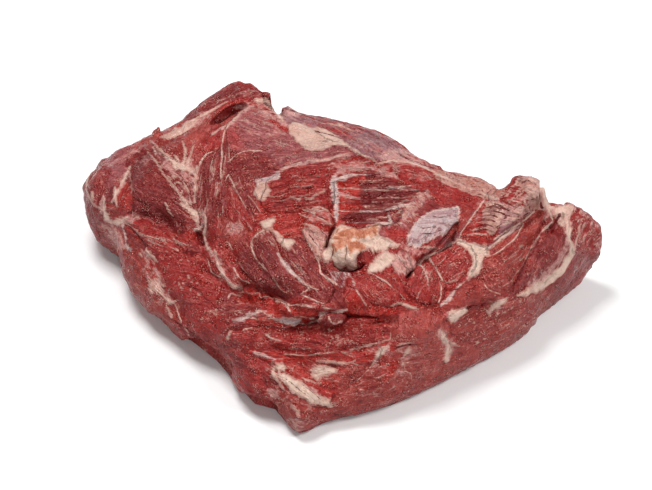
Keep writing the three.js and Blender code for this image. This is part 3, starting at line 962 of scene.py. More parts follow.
    def grow(self, skin: Skin) -> None:
        """Gives each vertex the colour and the grain of its muscle.

        Args:
            skin: The skin that the muscles are laid on.
        """
        spots, grains, tones, flecks, coarse = self.places(skin)
        everywhere = slice(None)
        wide, fine = (
            np.column_stack([skin.rough(everywhere, size, seed) for seed in seeds])
            for size, seeds in ((16.0, (3.1, 11.7, 23.9)), (5.0, (5.3, 17.1, 31.3)))
        )
        seeker = skin.points + self.wander * wide + self.fray * fine
        gaps = np.linalg.norm(seeker[:, None] - spots[None], axis=2)
        along = np.einsum("ijk,jk->ij", seeker[:, None] - spots[None], grains)
        gaps = np.sqrt(np.maximum(gaps**2 - self.stretch * along**2, 0))
        self.outline(skin, gaps)
        nearest = gaps.min(1)
        second = np.partition(gaps, 1, axis=1)[:, 1]
        far = ~skin.seen & (skin.fold[:, 0] <= skin.FAR)
        skin.fold[far, 0] = (second - nearest)[far] * 0.6
        skin.fold[far, 1] = self.far_rise / 2
        skin.height[far] += self.far_rise * (0.4 - np.exp(-skin.fold[far, 0] / 3))
        soft = np.exp(-(gaps - nearest[:, None]) / self.blend)
        soft /= soft.sum(1, keepdims=True)
        skin.lean[:] = soft @ tones
        skin.feel[:, 1] = soft @ flecks
        skin.feel[:, 2] = soft @ coarse
        groups = self.share_out(spots)
        shares = np.zeros((len(skin.points), self.layers))
        bundles = np.zeros(len(skin.points))
        outward = skin.normals.mean(0) + (0, -0.6, 0.7)
        for layer in range(self.layers):
            members = np.flatnonzero(groups == layer)
            choice = members[gaps[:, members].argmin(1)]
            shares[:, layer] = np.exp(-(gaps[:, members].min(1) - nearest) / self.edge)
            grain = grains[choice]
            away = skin.points - spots[choice]
            cross = np.cross(outward, grain)
            cross /= np.linalg.norm(cross, axis=1, keepdims=True)
            ways = (grain, cross, np.cross(grain, cross))
            coords = np.column_stack([np.einsum("ij,ij->i", away, way) for way in ways])
            coords[:, 2] += choice * self.apart
            skin.store(self.fibres[layer], coords)
            bundles += shares[:, layer] * waves(coords / self.bundle_size)
        total = shares.sum(1)
        skin.store("shares", shares / total[:, None])
        skin.height += self.bundles * skin.feel[:, 2] * bundles / total
        skin.height += self.lumps * skin.rough(everywhere, 13.0, 41.0)
        skin.height += self.small_lumps * skin.rough(everywhere, 4.5, 57.0)

    def outline(self, skin: Skin, gaps: np.ndarray) -> None:
        """Gives the muscles that have an outline their shape.

        Args:
            skin: The skin that they are laid on.
            gaps: How far each vertex is from each muscle, which is changed to suit the outlines.
        """
        for number, muscle in enumerate(self.muscles):
            corners = points_of(muscle.place)
            if len(corners) < 3:
                continue
            outline = eased(corners, 1)
            numbers = np.flatnonzero(skin.shown(outline, 12) & skin.seen)
            depth = inside(outline, skin.pixels[numbers]) * PIXEL
            depth += 0.5 * skin.rough(numbers, 6.0, 43.0) + 0.4 * skin.rough(numbers, 2.6, 47.0)
            gaps[:, number] += self.outlined
            gaps[numbers, number] = np.where(depth > 0, -depth, -10 * depth)
            body = np.maximum(depth, 0)
            skin.height[numbers] += self.swell * muscle.rise * (1 - np.exp(-body / self.shoulder))
            inner = (depth > skin.fold[numbers, 0]) & (muscle.rise > 0)
            skin.fold[numbers[inner], 0] = depth[inner]
            skin.fold[numbers[inner], 1] = self.swell * muscle.rise / 2

    def places(self, skin: Skin) -> tuple[np.ndarray, ...]:
        """Places the muscles on the skin, those that show and those of the far side.

        Args:
            skin: The skin that they are laid on.

        Returns:
            Their middles, the ways that their grains run, their colours, their flecks and their coarseness.
        """
        found = [self.placed(muscle, skin) for muscle in self.muscles]
        picker = np.random.default_rng(self.seed)
        hidden = np.flatnonzero(~skin.seen)
        for count in range(self.far_muscles):
            trial = skin.points[picker.choice(hidden, 60)]
            taken = np.array([spot for spot, *_ in found])
            room = np.linalg.norm(trial[:, None] - taken[None], axis=2).min(1)
            spot = trial[room.argmax()]
            level = np.array([-spot[1], spot[0], 0.0])
            grain = level / (np.linalg.norm(level) + TINY) + picker.normal(0, 0.35, 3)
            tone = self.far_tones[count % len(self.far_tones)]
            flecks, coarse = float(picker.uniform(0, 0.5)), float(picker.uniform(0.5, 1.1))
            found.append((spot, grain / np.linalg.norm(grain), tone.value[:3], flecks, coarse))
        return tuple(np.array(values) for values in zip(*found))

    def placed(self, muscle: Muscle, skin: Skin) -> tuple:
        """Places one muscle on the skin.

        Args:
            muscle: The muscle.
            skin: The skin that it is laid on.

        Returns:
            Its middle, the way that its grain runs, its colour, its flecks and its coarseness.
        """
        right, up, _ = skin.view.axes()
        middle = points_of(muscle.place).mean(0)[None]
        spot = skin.on_skin(middle)
        if not len(spot):
            raise ValueError(f"the muscle {muscle.name!r} is off the skin")
        turn = math.radians(muscle.grain)
        ahead = skin.on_skin(middle + (3 * math.cos(turn), -3 * math.sin(turn)))
        flat = math.cos(turn) * right + math.sin(turn) * up
        grain = ahead[0] - spot[0] if len(ahead) else flat
        if np.linalg.norm(grain) > self.leap:
            grain = flat
        return spot[0], grain / np.linalg.norm(grain), muscle.tone.value[:3], muscle.flecks, muscle.coarse

    def share_out(self, spots: np.ndarray) -> np.ndarray:
        """Puts the muscles in layers so that those close together are in different ones.

        Args:
            spots: The middles of the muscles.

        Returns:
            The layer of each muscle.
        """
        groups = np.full(len(spots), -1)
        for number, spot in enumerate(spots):
            room = np.full(self.layers, np.inf)
            for layer in range(self.layers):
                members = spots[:number][groups[:number] == layer]
                if len(members):
                    room[layer] = np.linalg.norm(members - spot, axis=1).min()
            groups[number] = int(room.argmax())
        return groups


@dataclass
class Body:
    """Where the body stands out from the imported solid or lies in. Here lumps is the width of the shoulder."""

    swells: tuple[Patch, ...] = (
        Patch("back edge left of fold", "436,150 470,156 500,170 506,186 490,184 466,176 440,172", -2.5, 4),
        Patch("crease's left", "290,324 306,318 330,313 342,313 342,325 326,328 306,332 292,333", 3.4, 4),
        Patch("left of crease", "238,284 256,286 280,296 300,310 300,320 284,316 262,308 244,298", 3, 5),
        Patch("crease's right", "336,310 364,307 396,307 401,318 364,326 336,327", 4.5, 4),
        Patch("top of flap", "238,74 252,74 266,80 269,92 262,96 250,92 240,88", -2.5, 5),
        Patch("shoulder of left end", "82,158 100,150 112,160 104,180 90,198 78,190", 2.5, 5),
        Patch("hollow under middle fat", "350,262 370,257 378,268 362,275 350,273", 2, 4),
        Patch("left foot", "146,306 164,314 182,332 184,346 168,342 150,326", -2.5, 6),
        Patch("lower left", "180,334 206,340 222,352 236,370 228,382 204,372 184,356", -10, 6),
        Patch("front left", "236,392 256,392 278,402 280,418 258,416 238,406", -5.5, 6),
        Patch("right side of fold", "522,182 532,176 541,184 546,194 549,204 540,210 528,200", 5, 4),
        Patch("tip of right end", "592,216 610,220 616,244 606,262 592,266 586,256 590,238", 3, 5),
    )

    pulls: tuple[Patch, ...] = (
        Patch("gap beside flap", "268,56 282,56 283,102 282,111 278,116 274,112 270,100", -13, 1.6),
        Patch("top of slab's end", "280,56 300,56 300,100 292,104 284,108 280,110", -3.5, 2),
        Patch("corner of fold", "532,160 548,160 543,184 539,187 534,182", -2.5, 2),
        Patch("left side of fold", "494,160 514,160 513,180 507,188 500,191 495,188", -3.5, 2),
        Patch("gap of fold", "536,185 543,183 547,195 546,203 539,205 534,195", 4.5, 1.6),
        Patch("behind fold", "546,160 570,160 568,204 556,207 549,207 546,198", -3, 2),
    )

    def shape(self, skin: Skin) -> None:
        """Shapes the skin.

        Args:
            skin: The fine skin.
        """
        for patch in self.swells:
            skin.swell(patch)
        for patch in self.pulls:
            skin.swell(patch, True)


@dataclass
class FatAndFilm:
    """The fat, the silvery films, the pale veils and the tints that lie on the lean meat; the dark tints are
    partly painted shade in hollows, creases and under flaps.
    """

    fat: tuple[Patch, ...] = (
        Patch("fat in middle", "331,240 333,232 337,226 343,225 350,228 357,231 362,229 370,227 378,225 "
              "382,226 377,236 386,238 393,242 402,244 396,247 388,248 383,252 376,252 368,249 360,252 "
              "356,256 355,261 356,266 353,270 348,270 345,262 344,268 339,270 334,266 333,259 328,263 "
              "323,262 322,254 329,247", 1.7, 0.7),
        Patch("lobe of fat under it", "366,275 371,265 377,257 383,252 391,252 395,258 391,265 381,271", 1,
              0.2),
        Patch("fat along back", "292,137 289,130 290,123 300,124 312,127 322,129 333,134 345,142 352,149 "
              "344,146 334,145 325,149 312,151 303,148 296,141", 0.5, 0.1, 0.13),
        Patch("lump of fat in left", "258,184 264,184 268,186 271,190 269,195 263,200 257,199 254,194", 1.2,
              0.3, 0.1),
        Patch("small fat below it", "260,222 266,219 276,219 275,225 268,230 263,229", 0.9),
        Patch("fat spur", "272,230 278,232 282,238 290,239 296,242 291,248 288,251 283,247 279,240 276,236",
              1.2, 0.3),
        Patch("fat at front", "281,374 287,373 293,379 300,383 308,389 316,393 323,397 331,403 333,408 "
              "325,407 314,404 306,400 297,395 290,390 284,383", 0.35, 0.5, 0.6),
        Patch("ragged top of front fat", "274,366 281,363 287,366 284,370 278,371", 0.4, 0.5, 0.5),
        Patch("fat above hollow", "312,370 318,366 327,366 334,368 339,372 331,374 324,376 318,379 313,377",
              0.5, 0.3),
        Patch("fat on left flank", "147,281 152,279 160,283 164,290 160,296 153,294 148,288", 0.2, 0.3,
              0.03),
        Patch("fat on right shoulder", "555,209 562,206 570,206 574,209 570,216 566,226 560,226 556,219",
              0.4, 0.4, 0.12),
        Patch("fork of fat on right", "457,239 467,243 480,245 489,246 489,255 484,258 482,268 477,276 "
              "468,278 470,268 474,258 469,253 464,248 458,244", 0.9, 0.4),
        Patch("wedge of fat low on right", "449,314 453,311 459,310 466,308 467,312 461,316 456,319 452,322 "
              "448,319", 0.8),
        Patch("fat at back left", "160,137 168,133 178,129 188,122 196,119 195,125 187,132 178,136 168,139",
              0.3, 0.3, 0.08),
        Patch("fat edge of back", "437,171 452,173 470,178 490,184 505,189 503,195 497,201 485,198 470,193 "
              "455,188 444,183 436,178", 0.3, 0.3, 0.015),
        Patch("cream of ladder", "487,202 497,203 505,205 503,214 499,222 496,232 490,236 486,231 483,223 "
              "484,212", 0.5, 0.5, 0.06),
        Patch("skin of fold's edge", "533,180 540,188 546,200 552,203 556,208 548,212 543,206 537,196", 0.2,
              0.3),
        Patch("fold's side", "519,179 530,177 539,182 546,190 550,200 549,209 540,211 533,204 527,196 "
              "522,188", 0.3, 0.4, 0.04),
    )
    film: tuple[Patch, ...] = (
        Patch("film of window's left", "331,178 335,176 337,183 337,192 338,199 337,206 338,218 336,223 "
              "335,212 333,201 332,193", 0.6),
        Patch("fan of film", "410,246 407,240 410,230 418,221 428,212 440,209 452,208 459,207 460,214 "
              "456,222 449,230 441,236 432,240 425,243 418,247", 0.5, 0.3),
        Patch("film in left", "257,181 267,178 277,172 282,174 272,182 260,184", 0.4),
        Patch("film by cave", "331,272 344,270 347,275 344,283 341,287 334,281", 0.3, 0, -0.05),
        Patch("film on front fat", "293,384 302,386 311,391 319,397 324,402 313,399 303,394 296,389", 0.2,
              0.2),
        Patch("film over band", "233,320 240,315 251,313 267,311 262,315 251,317 243,321 236,323", 0.3, 0,
              -0.03),
        Patch("film over crease", "274,320 284,317 294,318 302,322 296,325 286,324", 0.2, 0, 0.2),
    )
    veil: tuple[Patch, ...] = (
        Patch("dome", "238,120 250,105 262,106 274,117 285,128 285,138 270,142 252,138 240,130", 0, 0, 0.4),
        Patch("upper grain", "258,150 300,151 350,150 354,157 330,162 300,166 280,170 262,160", 0, 0, 0.3),
        Patch("window", "326,162 350,158 376,162 402,166 404,176 384,172 360,168 336,174", 0, 0, 0.6),
        Patch("ledge", "398,163 420,166 436,173 438,186 424,188 408,182", 0, 0, 0.35),
        Patch("dome's right", "258,104 270,106 282,120 288,132 284,138 268,124 256,112", 0, 0, 0.8),
        Patch("film left of middle", "224,222 240,222 247,230 240,235 228,233", 0.2, 0, 0.9),
        Patch("tip of slab", "281,112 285,107 291,105 298,109 306,111 300,118 292,121 284,118", 0, 0, 0.95),
        Patch("fat behind pocket", "162,135 180,125 198,115 212,108 216,112 204,122 190,132 174,140"),
        Patch("ragged fat by front", "266,388 272,386 279,388 281,393 276,398 270,399 267,395", 0.4, 0.6, 1),
        Patch("film by front hollow", "300,362 312,360 320,364 312,368 302,368", 0, 0, 0.5),
        Patch("ragged film in window", "429,189 432,195 424,204 416,212 408,222 404,231 397,229 399,216 "
              "405,206 413,198 421,192", 0.4, 0.6),
        Patch("skin of fold", "525,176 533,179 540,188 546,200 551,203 578,204 571,211 558,214 549,218 "
              "541,222 546,212 540,206 532,203 525,204 520,198 527,190 524,182", 0.2, 0.3, 1),
        Patch("flank's white", "140,248 152,250 158,262 162,280 170,292 168,300 158,298 150,286 146,268",
              0.3, 0, 0.45),
        Patch("slab", "318,118 340,120 356,128 350,134 330,126", 0, 0, 0.35),
        Patch("pale end of slab", "376,156 386,150 398,147 410,152 428,164 442,172 430,172 414,168 398,164 "
              "384,162", 0.2, 0, 1),
        Patch("left network", "150,141 158,146 166,155 180,159 190,156 199,165 198,180 192,184 181,183 "
              "171,178 163,170 155,156", 0.3, 0.6, 0.65),
        Patch("lower network", "172,178 184,181 196,180 200,196 202,212 207,226 200,232 192,220 184,208 "
              "176,194", 0.2, 0.5, 0.4),
        Patch("edge of left end", "96,172 106,162 120,155 136,148 150,143 152,150 136,156 122,163", 0, 0,
              0.6),
        Patch("left shoulder", "131,157 148,151 154,160 150,168 138,166", 0, 0, 0.4),
        Patch("upper left flank", "100,222 116,226 124,236 128,250 120,254 108,238", 0, 0, 0.8),
        Patch("left flank", "142,248 152,248 160,262 168,284 174,304 160,306 148,294 142,278", 0, 0, 0.5),
        Patch("ragged pink", "302,230 312,227 326,231 330,240 324,251 320,264 313,252 306,240", 0.2, 0.8,
              0.95),
        Patch("loose flap", "303,214 314,208 326,209 334,216 332,228 318,226 306,222", 0.3, 0.4, 0.6),
        Patch("pink lump", "389,262 393,254 402,251 412,255 415,264 410,273 402,277 393,270", 1.4, 0.9, 1),
        Patch("beside cleft", "402,243 416,246 434,245 442,248 430,254 414,258 404,251", 0.3, 0.4, 0.9),
        Patch("fold's front", "503,192 512,183 522,182 530,194 528,203 514,204 503,201", 0.2, 0.3, 0.4),
        Patch("foot of fold", "495,210 506,203 520,204 532,207 534,213 524,220 510,227 498,228 493,220", 0.2,
              0.5, 0.9),
        Patch("ladder", "478,202 500,202 500,214 494,232 486,244 466,242 462,234 470,216", 0, 0, 0.35),
        Patch("shoulder", "538,203 552,202 566,204 578,206 574,214 560,217 547,216 540,211", 0.2, 0.3),
        Patch("right end", "574,206 584,204 592,214 597,228 600,246 586,252 578,244 574,226", 0, 0, 0.45),
        Patch("right of knuckle", "446,246 460,243 472,254 470,268 462,262 450,258", 0, 0, 0.2),
        Patch("knuckle", "412,268 424,259 432,266 440,280 430,284 420,276", 0, 0, 0.15),
        Patch("arc", "214,248 224,256 232,270 246,286 232,292 218,280 212,262", 0, 0, 0.4),
        Patch("cuts' edge", "250,234 262,228 276,232 282,246 274,244 262,240 254,248", 0, 0, 0.45),
        Patch("wedge's edge", "322,300 346,306 364,306 360,314 336,314 318,310", 0, 0, 0.25),
        Patch("over crease", "232,318 254,308 276,312 306,314 322,320 296,326 262,325", 0, 0, 0.2),
        Patch("front fold", "360,346 380,342 392,334 396,346 386,362 372,376 362,378 374,360", 0, 0, 0.55),
        Patch("right crack", "384,356 396,346 414,342 420,350 412,362 400,378 388,382 380,372", 0, 0.4, 0.6),
        Patch("stem", "436,328 446,330 460,342 456,350 450,364 442,356 440,340", 0, 0, 0.5),
        Patch("right corner", "486,300 504,296 506,304 494,316 486,314", 0, 0, 0.7),
        Patch("round front fat", "262,362 286,360 306,378 334,396 340,410 316,412 290,402 268,402", 0, 0,
              0.5),
        Patch("low on left", "222,326 238,328 250,334 240,342 226,342", 0, 0, 0.15),
        Patch("foot of tip", "288,418 300,416 312,422 300,434 292,428", 0, 0, 0.7),
    )
    warm: tuple[Patch, ...] = (
        Patch("stained top of middle fat", "334,238 338,231 350,230 362,231 376,229 377,236 366,238 352,240 "
              "340,243"),
        Patch("peach side of middle fat", "332,246 338,241 346,241 350,246 342,250 334,252"),
        Patch("peach of middle fat", "344,243 354,240 366,243 362,251 350,254"),
        Patch("stained fat at back", "458,173 475,178 490,183 505,189 502,193 485,189 468,184 456,179", 0, 0,
              -0.04),
    )
    bright: tuple[Patch, ...] = (
        Patch("fresh cut below window", "384,229 405,229 410,236 404,241 392,240 386,235"),
        Patch("band over cleft", "409,246 424,245 440,243 442,250 428,253 412,254", 0, 0, 0.3),
        Patch("pocket's upper lip", "218,110 226,102 236,100 250,98 246,104 230,106 222,114"),
        Patch("front hollow", "320,381 330,379 338,385 337,395 329,397 321,391"),
        Patch("wedge in middle", "346,291 356,290 361,302 354,311 345,309", 0, 0, 1),
        Patch("band on left", "184,234 196,232 203,237 196,243 186,241"),
        Patch("band under crease", "232,289 262,291 285,301 290,309 262,306 240,301"),
        Patch("crimson over crease", "258,290 280,298 300,306 320,312 322,319 300,319 276,313 256,302", 0, 0,
              1),
        Patch("crimson over front fat", "286,356 306,356 312,364 300,372 288,366", 0, 0, 0.6),
        Patch("crimson right of front fat", "332,360 350,362 352,374 340,384 328,384 336,372", 0, 0, 0.2),
        Patch("ladder", "462,236 470,224 486,222 494,232 488,243 472,241"),
        Patch("window's left", "341,178 358,176 361,196 356,208 343,214"),
        Patch("orange flank", "154,262 162,261 166,272 160,276"),
        Patch("under lump", "256,206 276,206 276,219 260,220"),
        Patch("beside front fold", "378,352 398,346 404,356 392,374 380,374", 0, 0, 0.3),
        Patch("red under right crack", "382,366 394,360 400,364 392,376 384,380", 0, 0, 1),
        Patch("bright strip of left", "118,186 130,184 131,210 120,212", 0, 0, 0.8),
        Patch("over right of crease", "372,308 400,306 404,316 380,318", 0, 0, 0.5),
    )
    # Painted shade in the pocket under the flap and the hollows by the middle fat; in the window partly its
    # deep tone and partly painted shade in its recess
    dark: tuple[Patch, ...] = (
        Patch("deep of window", "360,182 384,181 408,190 406,206 380,208 362,206", 0, 0, 1),
        Patch("deep under window", "345,215 385,211 396,220 388,223 350,223", 0, 0, 1),
        Patch("pocket under flap", "213,121 218,113 228,106 240,103 247,103 238,111 228,119 217,124", 0, 0,
              0.5),
        Patch("under middle fat", "334,268 345,271 356,270 362,266 356,273 345,275 336,273", 0, 0, 0.3),
        Patch("hole beside middle fat", "354,252 364,250 374,252 374,258 366,262 356,260", 0, 0, 0.3),
    )
    fat_lines: tuple[Trace, ...] = (
        Trace("rim fat", "562,208 565,215 568,225 569,240 573,251 568,261 559,271 549,280 534,290 517,296",
              (5, 4.4, 4.4, 5.4, 7, 10, 11, 11, 9, 6, 1.4), 0.6),
        Trace("second rim line", "580,226 577,238 574,252", (1, 2.4, 2.4, 1), 0.4),
        Trace("strand of shoulder", "546,208 550,214 553,222", (3, 4, 1.4)),
        Trace("cream of back edge", "438,175 447,179 458,184 468,188 478,192 488,197 497,199",
              (6, 4, 2, 2.4, 1.6, 3.4, 4)),
        Trace("upper cream of back edge", "446,168 458,173 470,177 482,182 494,188", (1, 2.4, 1, 2, 1), 0.2),
        Trace("edge of flap", "190,123 199,117 207,113 216,108 222,104 230,100",
              (3.4, 3, 2.6, 2.4, 1.8, 0.6), 0.5),
        Trace("under pocket", "214,134 221,129 229,124 237,117 246,108", (1, 2.4, 2, 1.6, 2), 0.4),
        Trace("rim behind flap", "257,100 264,101 271,105 277,115 283,121", (4, 5, 4, 4, 2.4), 0.5),
        Trace("first vein of network", "150,140 159,149 170,159 181,168 195,175", (1, 2, 3.6, 4.6, 3)),
        Trace("mass of network", "170,160 176,165 184,168 193,172", (3, 5.4, 6, 3)),
        Trace("second vein of network", "148,153 157,163 162,172 170,182 176,190",
              (0.8, 1.6, 1.4, 1.6, 0.8)),
        Trace("third vein of network", "183,142 186,151 184,159 182,166", (1.4, 2.2, 2, 3)),
        Trace("fourth vein of network", "194,145 190,155 187,166 190,174", (0.8, 2.2, 2.4, 3)),
        Trace("fifth vein of network", "174,185 181,197 189,208 196,218 199,230", (1, 1.8, 2.4, 3, 1.4)),
        Trace("sixth vein of network", "183,181 189,193 191,206", (2.4, 1.8, 1)),
        Trace("lower mass of network", "181,204 188,209 195,214 198,222", (2, 5, 6, 3)),
        Trace("band of left end", "130,168 125,177 118,190 112,202", (2, 2.8, 2, 2)),
        Trace("foot of that band", "115,187 115,196 117,206", (3, 3, 2)),
        Trace("ring of left end", "105,199 104,208 106,218 113,223 121,222 128,217", (2, 4, 5, 5, 4, 1.6)),
        Trace("cream line behind slab", "318,124 334,125 345,127 355,132", (1, 2.4, 2.4, 1)),
        Trace("seam behind window", "352,148 357,153 365,157 374,160 380,165", (2.6, 2.6, 2.4, 2.4, 1), 0.5),
        Trace("seam under slab", "378,163 392,161 402,161 416,165 436,173", (1, 3, 3.6, 3.6, 3)),
        Trace("long vein of network", "197,168 196,178 195,190 195,203", (2.4, 3.2, 2.4, 1.6), 0.4),
        Trace("stray vein", "165,203 168,208 172,216", (0.8, 1.6, 0.6)),
        Trace("streak below network", "203,210 207,222 204,235 206,245 212,253", (1.4, 3.6, 2.6, 3.4, 1.6),
              0.5),
        Trace("spot of left end", "94,194 94,200", (2.4, 2.6), 0.5),
        Trace("pale streak of left flank", "146,249 150,254 158,262", (2, 3.4, 1.6)),
        Trace("tail of flank's fat", "160,292 165,298 172,303 178,300", (3, 2.6, 2.6, 0.8)),
        Trace("last of flank's fat", "168,309 171,317", (1.6, 2.8)),
        Trace("arc left of middle", "215,250 217,262 222,273 227,281 233,286 241,288",
              (1, 1.8, 3.4, 3.2, 3.4, 1.4), 0.6),
        Trace("patch low on left", "228,338 230,332", (2.8, 3), 0.4),
        Trace("cream streak by cleft", "418,248 427,248 437,248", (1.4, 2.2, 1), 0.4),
        Trace("fat under upright fold", "488,250 497,243 504,237 514,229", (1, 2.4, 2.6, 1)),
        Trace("hem of fold", "524,205 532,203 540,205", (1, 3, 1.4)),
        Trace("fat right of front", "489,315 491,308 497,304 505,300", (1, 4, 5, 3), 0.4),
        Trace("stem low on right", "439,330 444,337 448,345 448,354 446,361", (2, 4.6, 3.6, 5.6, 3), 0.4),
        Trace("arm of stem", "443,342 450,342 459,346", (1, 2.4, 1)),
        Trace("pale band of right crack", "394,347 404,344 414,343", (1, 2.4, 1), 0.4),
        Trace("fat under right crack", "410,348 406,353 402,358", (1.2, 3.4, 1)),
        Trace("ledge of hollow", "302,379 310,382 322,383", (0.8, 2, 0.8), 0.6),
        Trace("strand under ragged top", "274,367 273,374 278,382 283,390", (2.4, 3.6, 2.6, 1.4), 0.5),
        Trace("second strand under ragged top", "279,368 279,376 283,382", (1.4, 2.2, 1), 0.4),
        Trace("patch at tip", "292,406 299,412", (3, 2)),
        Trace("taper of front fold", "386,347 381,352 377,358", (2, 6, 3)),
        Trace("band over front fold", "391,334 391,340 381,342 366,346 350,350", (0.6, 1.4, 1.2, 1.2, 0.6),
              0.4),
        Trace("long band over hollow", "316,361 330,361 343,364 355,361", (1, 2.2, 2.6, 1), 0.5),
        Trace("pale strand at tip", "293,405 298,412 301,421", (2.6, 1.6, 0.6), 0.4),
        Trace("fat over knuckle", "391,306 400,303 410,308 418,309", (0.8, 1.8, 2.4, 1), 0.4),
        Trace("frill under grain", "291,197 298,201 303,197", (1, 2, 1), 0.6),
        Trace("second frill", "305,199 312,200 316,195 325,191", (1, 2.4, 2.2, 1.2), 0.6),
        Trace("pale top of loose flap", "311,211 318,208 327,210 333,216", (3, 4, 2.4, 1), 0.6),
        Trace("upper strand of loose flap", "302,223 309,226 318,229", (1, 2, 1), 0.5),
        Trace("rung of ladder", "470,231 479,229 487,229", (0.8, 1.8, 1.4), 0.5),
        Trace("low rung of ladder", "468,236 477,234 486,235", (0.8, 1.6, 1), 0.5),
        Trace("high rung of ladder", "476,224 482,222 488,223", (0.8, 1.8, 1), 0.5),
        Trace("tick on slab", "361,149 364,146 367,144", 1.2),
        Trace("line over window", "284,167 300,163 318,161 335,158 347,153", (1.8, 1.2, 1, 1.2, 1.6), 0.4),
        Trace("white of ragged pink", "304,231 310,237 316,245 320,257", (1, 3.4, 4, 1.4), 0.6),
        Trace("second white of ragged pink", "314,231 319,236 323,243 322,251", (1.4, 2.8, 2.4, 1), 0.6),
        Trace("white of pink lump", "396,256 402,259 406,265 404,272", (2, 3, 2.4, 1), 0.5),
        Trace("second white of pink lump", "394,268 400,270 405,275", (2, 2.4, 1), 0.4),
    )
    veil_lines: tuple[Trace, ...] = (
        Trace("ring", "104,196 102,206 104,217 112,224 122,222 131,218 140,217", (3, 7, 7, 6, 6, 6, 3)),
        Trace("left end's band", "130,168 125,178 118,190 112,202", (2, 4, 4, 3)),
        Trace("right of left end's wedge", "128,168 131,180 131,192", (1, 2, 1)),
        Trace("pocket", "213,134 224,128 238,118 251,106", (3, 4, 4, 4)),
        Trace("end of pocket's veil", "236,108 246,106 254,106", (2, 5, 3)),
        Trace("veil by cleft", "419,263 426,258 434,255", (2, 4, 2)),
        Trace("flap", "256,101 270,107 280,118 286,128", (3, 5, 6, 5)),
        Trace("window's top", "336,175 352,168 372,168 396,178", (4, 5, 4, 2)),
        Trace("window", "277,172 286,167 318,161 349,154", (5, 3, 2, 4)),
        Trace("smear in window", "338,193 347,196 360,198", (1, 2, 1)),
        Trace("rim fat", "566,212 570,240 560,262 530,287", (5, 6, 8, 6)),
        Trace("stem", "438,330 447,341 449,352 446,362", (4, 7, 8, 5)),
        Trace("taper", "388,345 381,354 374,362", (4, 5, 2)),
        Trace("flank", "146,250 156,268 160,288 172,304", (2, 3, 6, 3)),
        Trace("veil below network", "202,210 207,226 205,242 213,256", (2, 4, 3, 2)),
        Trace("arc", "214,250 219,266 228,282 241,289", (2, 4, 4, 3)),
        Trace("right wedge", "448,318 457,314 467,309", 5),
        Trace("right corner", "488,314 493,306 506,299", (3, 6, 4)),
        Trace("fork", "458,241 474,252 477,264 468,280", (3, 4, 4, 1)),
        Trace("upper edge of ladder", "484,202 496,203 508,206", (2, 4, 3)),
    )
    film_lines: tuple[Trace, ...] = (
        Trace("top of window", "334,180 346,177 357,175 370,174", (3, 3, 2, 0.8), 0.8),
        Trace("streak of window", "360,211 380,211 392,208 405,206 414,203", (0.6, 1, 2, 3.4, 3)),
        Trace("upper streak of window", "366,190 384,188 402,188 418,190", (0.6, 1, 1.6, 1.4), 0.2),
        Trace("foot of window", "350,223 372,222 388,224 402,224", (1, 1.6, 3.4, 2)),
        Trace("band of middle cut", "278,254 285,264 293,273 302,281 311,289", (1.4, 3, 3.4, 3.4, 1.6), 0.5),
        Trace("film right of strips", "205,224 200,228 195,230", (2, 3, 1.6)),
        Trace("streak low on left", "233,321 243,319 252,316 260,313", (1, 4, 3.4, 1.6), 0.5),
        Trace("second film over crease", "303,326 312,321 322,319", (2.4, 4.4, 2), 0.6),
        Trace("third film over crease", "313,316 326,315", (1.6, 1), 0.4),
        Trace("streak patch low on left", "254,353 264,356 275,359", (2, 3, 1), 0.4),
        Trace("band below fork", "460,284 455,291 449,299 442,305", (0.4, 1.4, 4, 1.6)),
        Trace("band by upright fold", "489,248 500,240 511,232 523,224", (2, 3, 3, 2), 0.4),
        Trace("veil of left flank", "123,226 125,236 126,246 130,250", (1.6, 2, 2.4, 3), 0.2),
        Trace("frill of fan", "388,212 392,222 388,228", (1, 2, 1)),
        Trace("pale line low in middle", "320,312 332,312 346,310", (1, 2.4, 1.4), 0.4),
        Trace("line at left of lower cut", "346,270 352,278 354,286", (1, 1.6, 0.8)),
    )
    bright_lines: tuple[Trace, ...] = (
        Trace("red behind slab", "322,129 334,130 348,134", (1, 4, 2)),
        Trace("orange of slab", "301,116 310,117 318,121", (2, 5, 2)),
        Trace("spot behind slab", "350,136 354,140", 3),
        Trace("spots at back", "270,120 277,125 284,129 291,131", (3, 4, 5, 2)),
        Trace("front of front fat", "286,368 298,378 312,385", (2, 3, 2)),
        Trace("over front fat", "300,372 308,380", 4),
        Trace("lip of crease", "300,331 322,328 350,326 390,324", (1, 3, 4, 3)),
        Trace("foot of window", "346,224 362,226 378,224", (1, 3, 1)),
        Trace("under fork", "462,276 455,284 450,292", (1, 2, 1)),
    )
    # Painted shade in the crease, over the cleft, under the loose flap and beside the long thread; the others
    # darken the meat's tone
    dark_lines: tuple[Trace, ...] = (
        Trace("shade over cleft", "452,228 442,240 430,252", (0.6, 1, 0.6)),
        Trace("shade of crease", "320,322 345,320 370,319 392,317", (2, 5, 5, 2)),
        Trace("shade over crease", "272,300 290,305 310,306", (3, 5, 3)),
        Trace("dark of slab", "320,119 332,120 345,124", (2, 4, 2)),
        Trace("second dark of slab", "344,136 354,141 364,147", (2, 4, 2)),
        Trace("third dark of slab", "352,125 366,131 380,139", (1.5, 3, 1.5)),
        Trace("shade beside long thread", "214,158 213,171 212,184", (2, 5, 2)),
        Trace("dark of flap", "206,104 222,96 236,90", (2, 6, 3)),
        Trace("red of front left", "262,374 267,382 273,388", (2, 5, 2)),
        Trace("brown of front left", "226,352 240,362 254,372", (3, 7, 3)),
        Trace("under loose flap", "336,214 334,226 330,236 328,246", (2, 3, 3, 2)),
    )

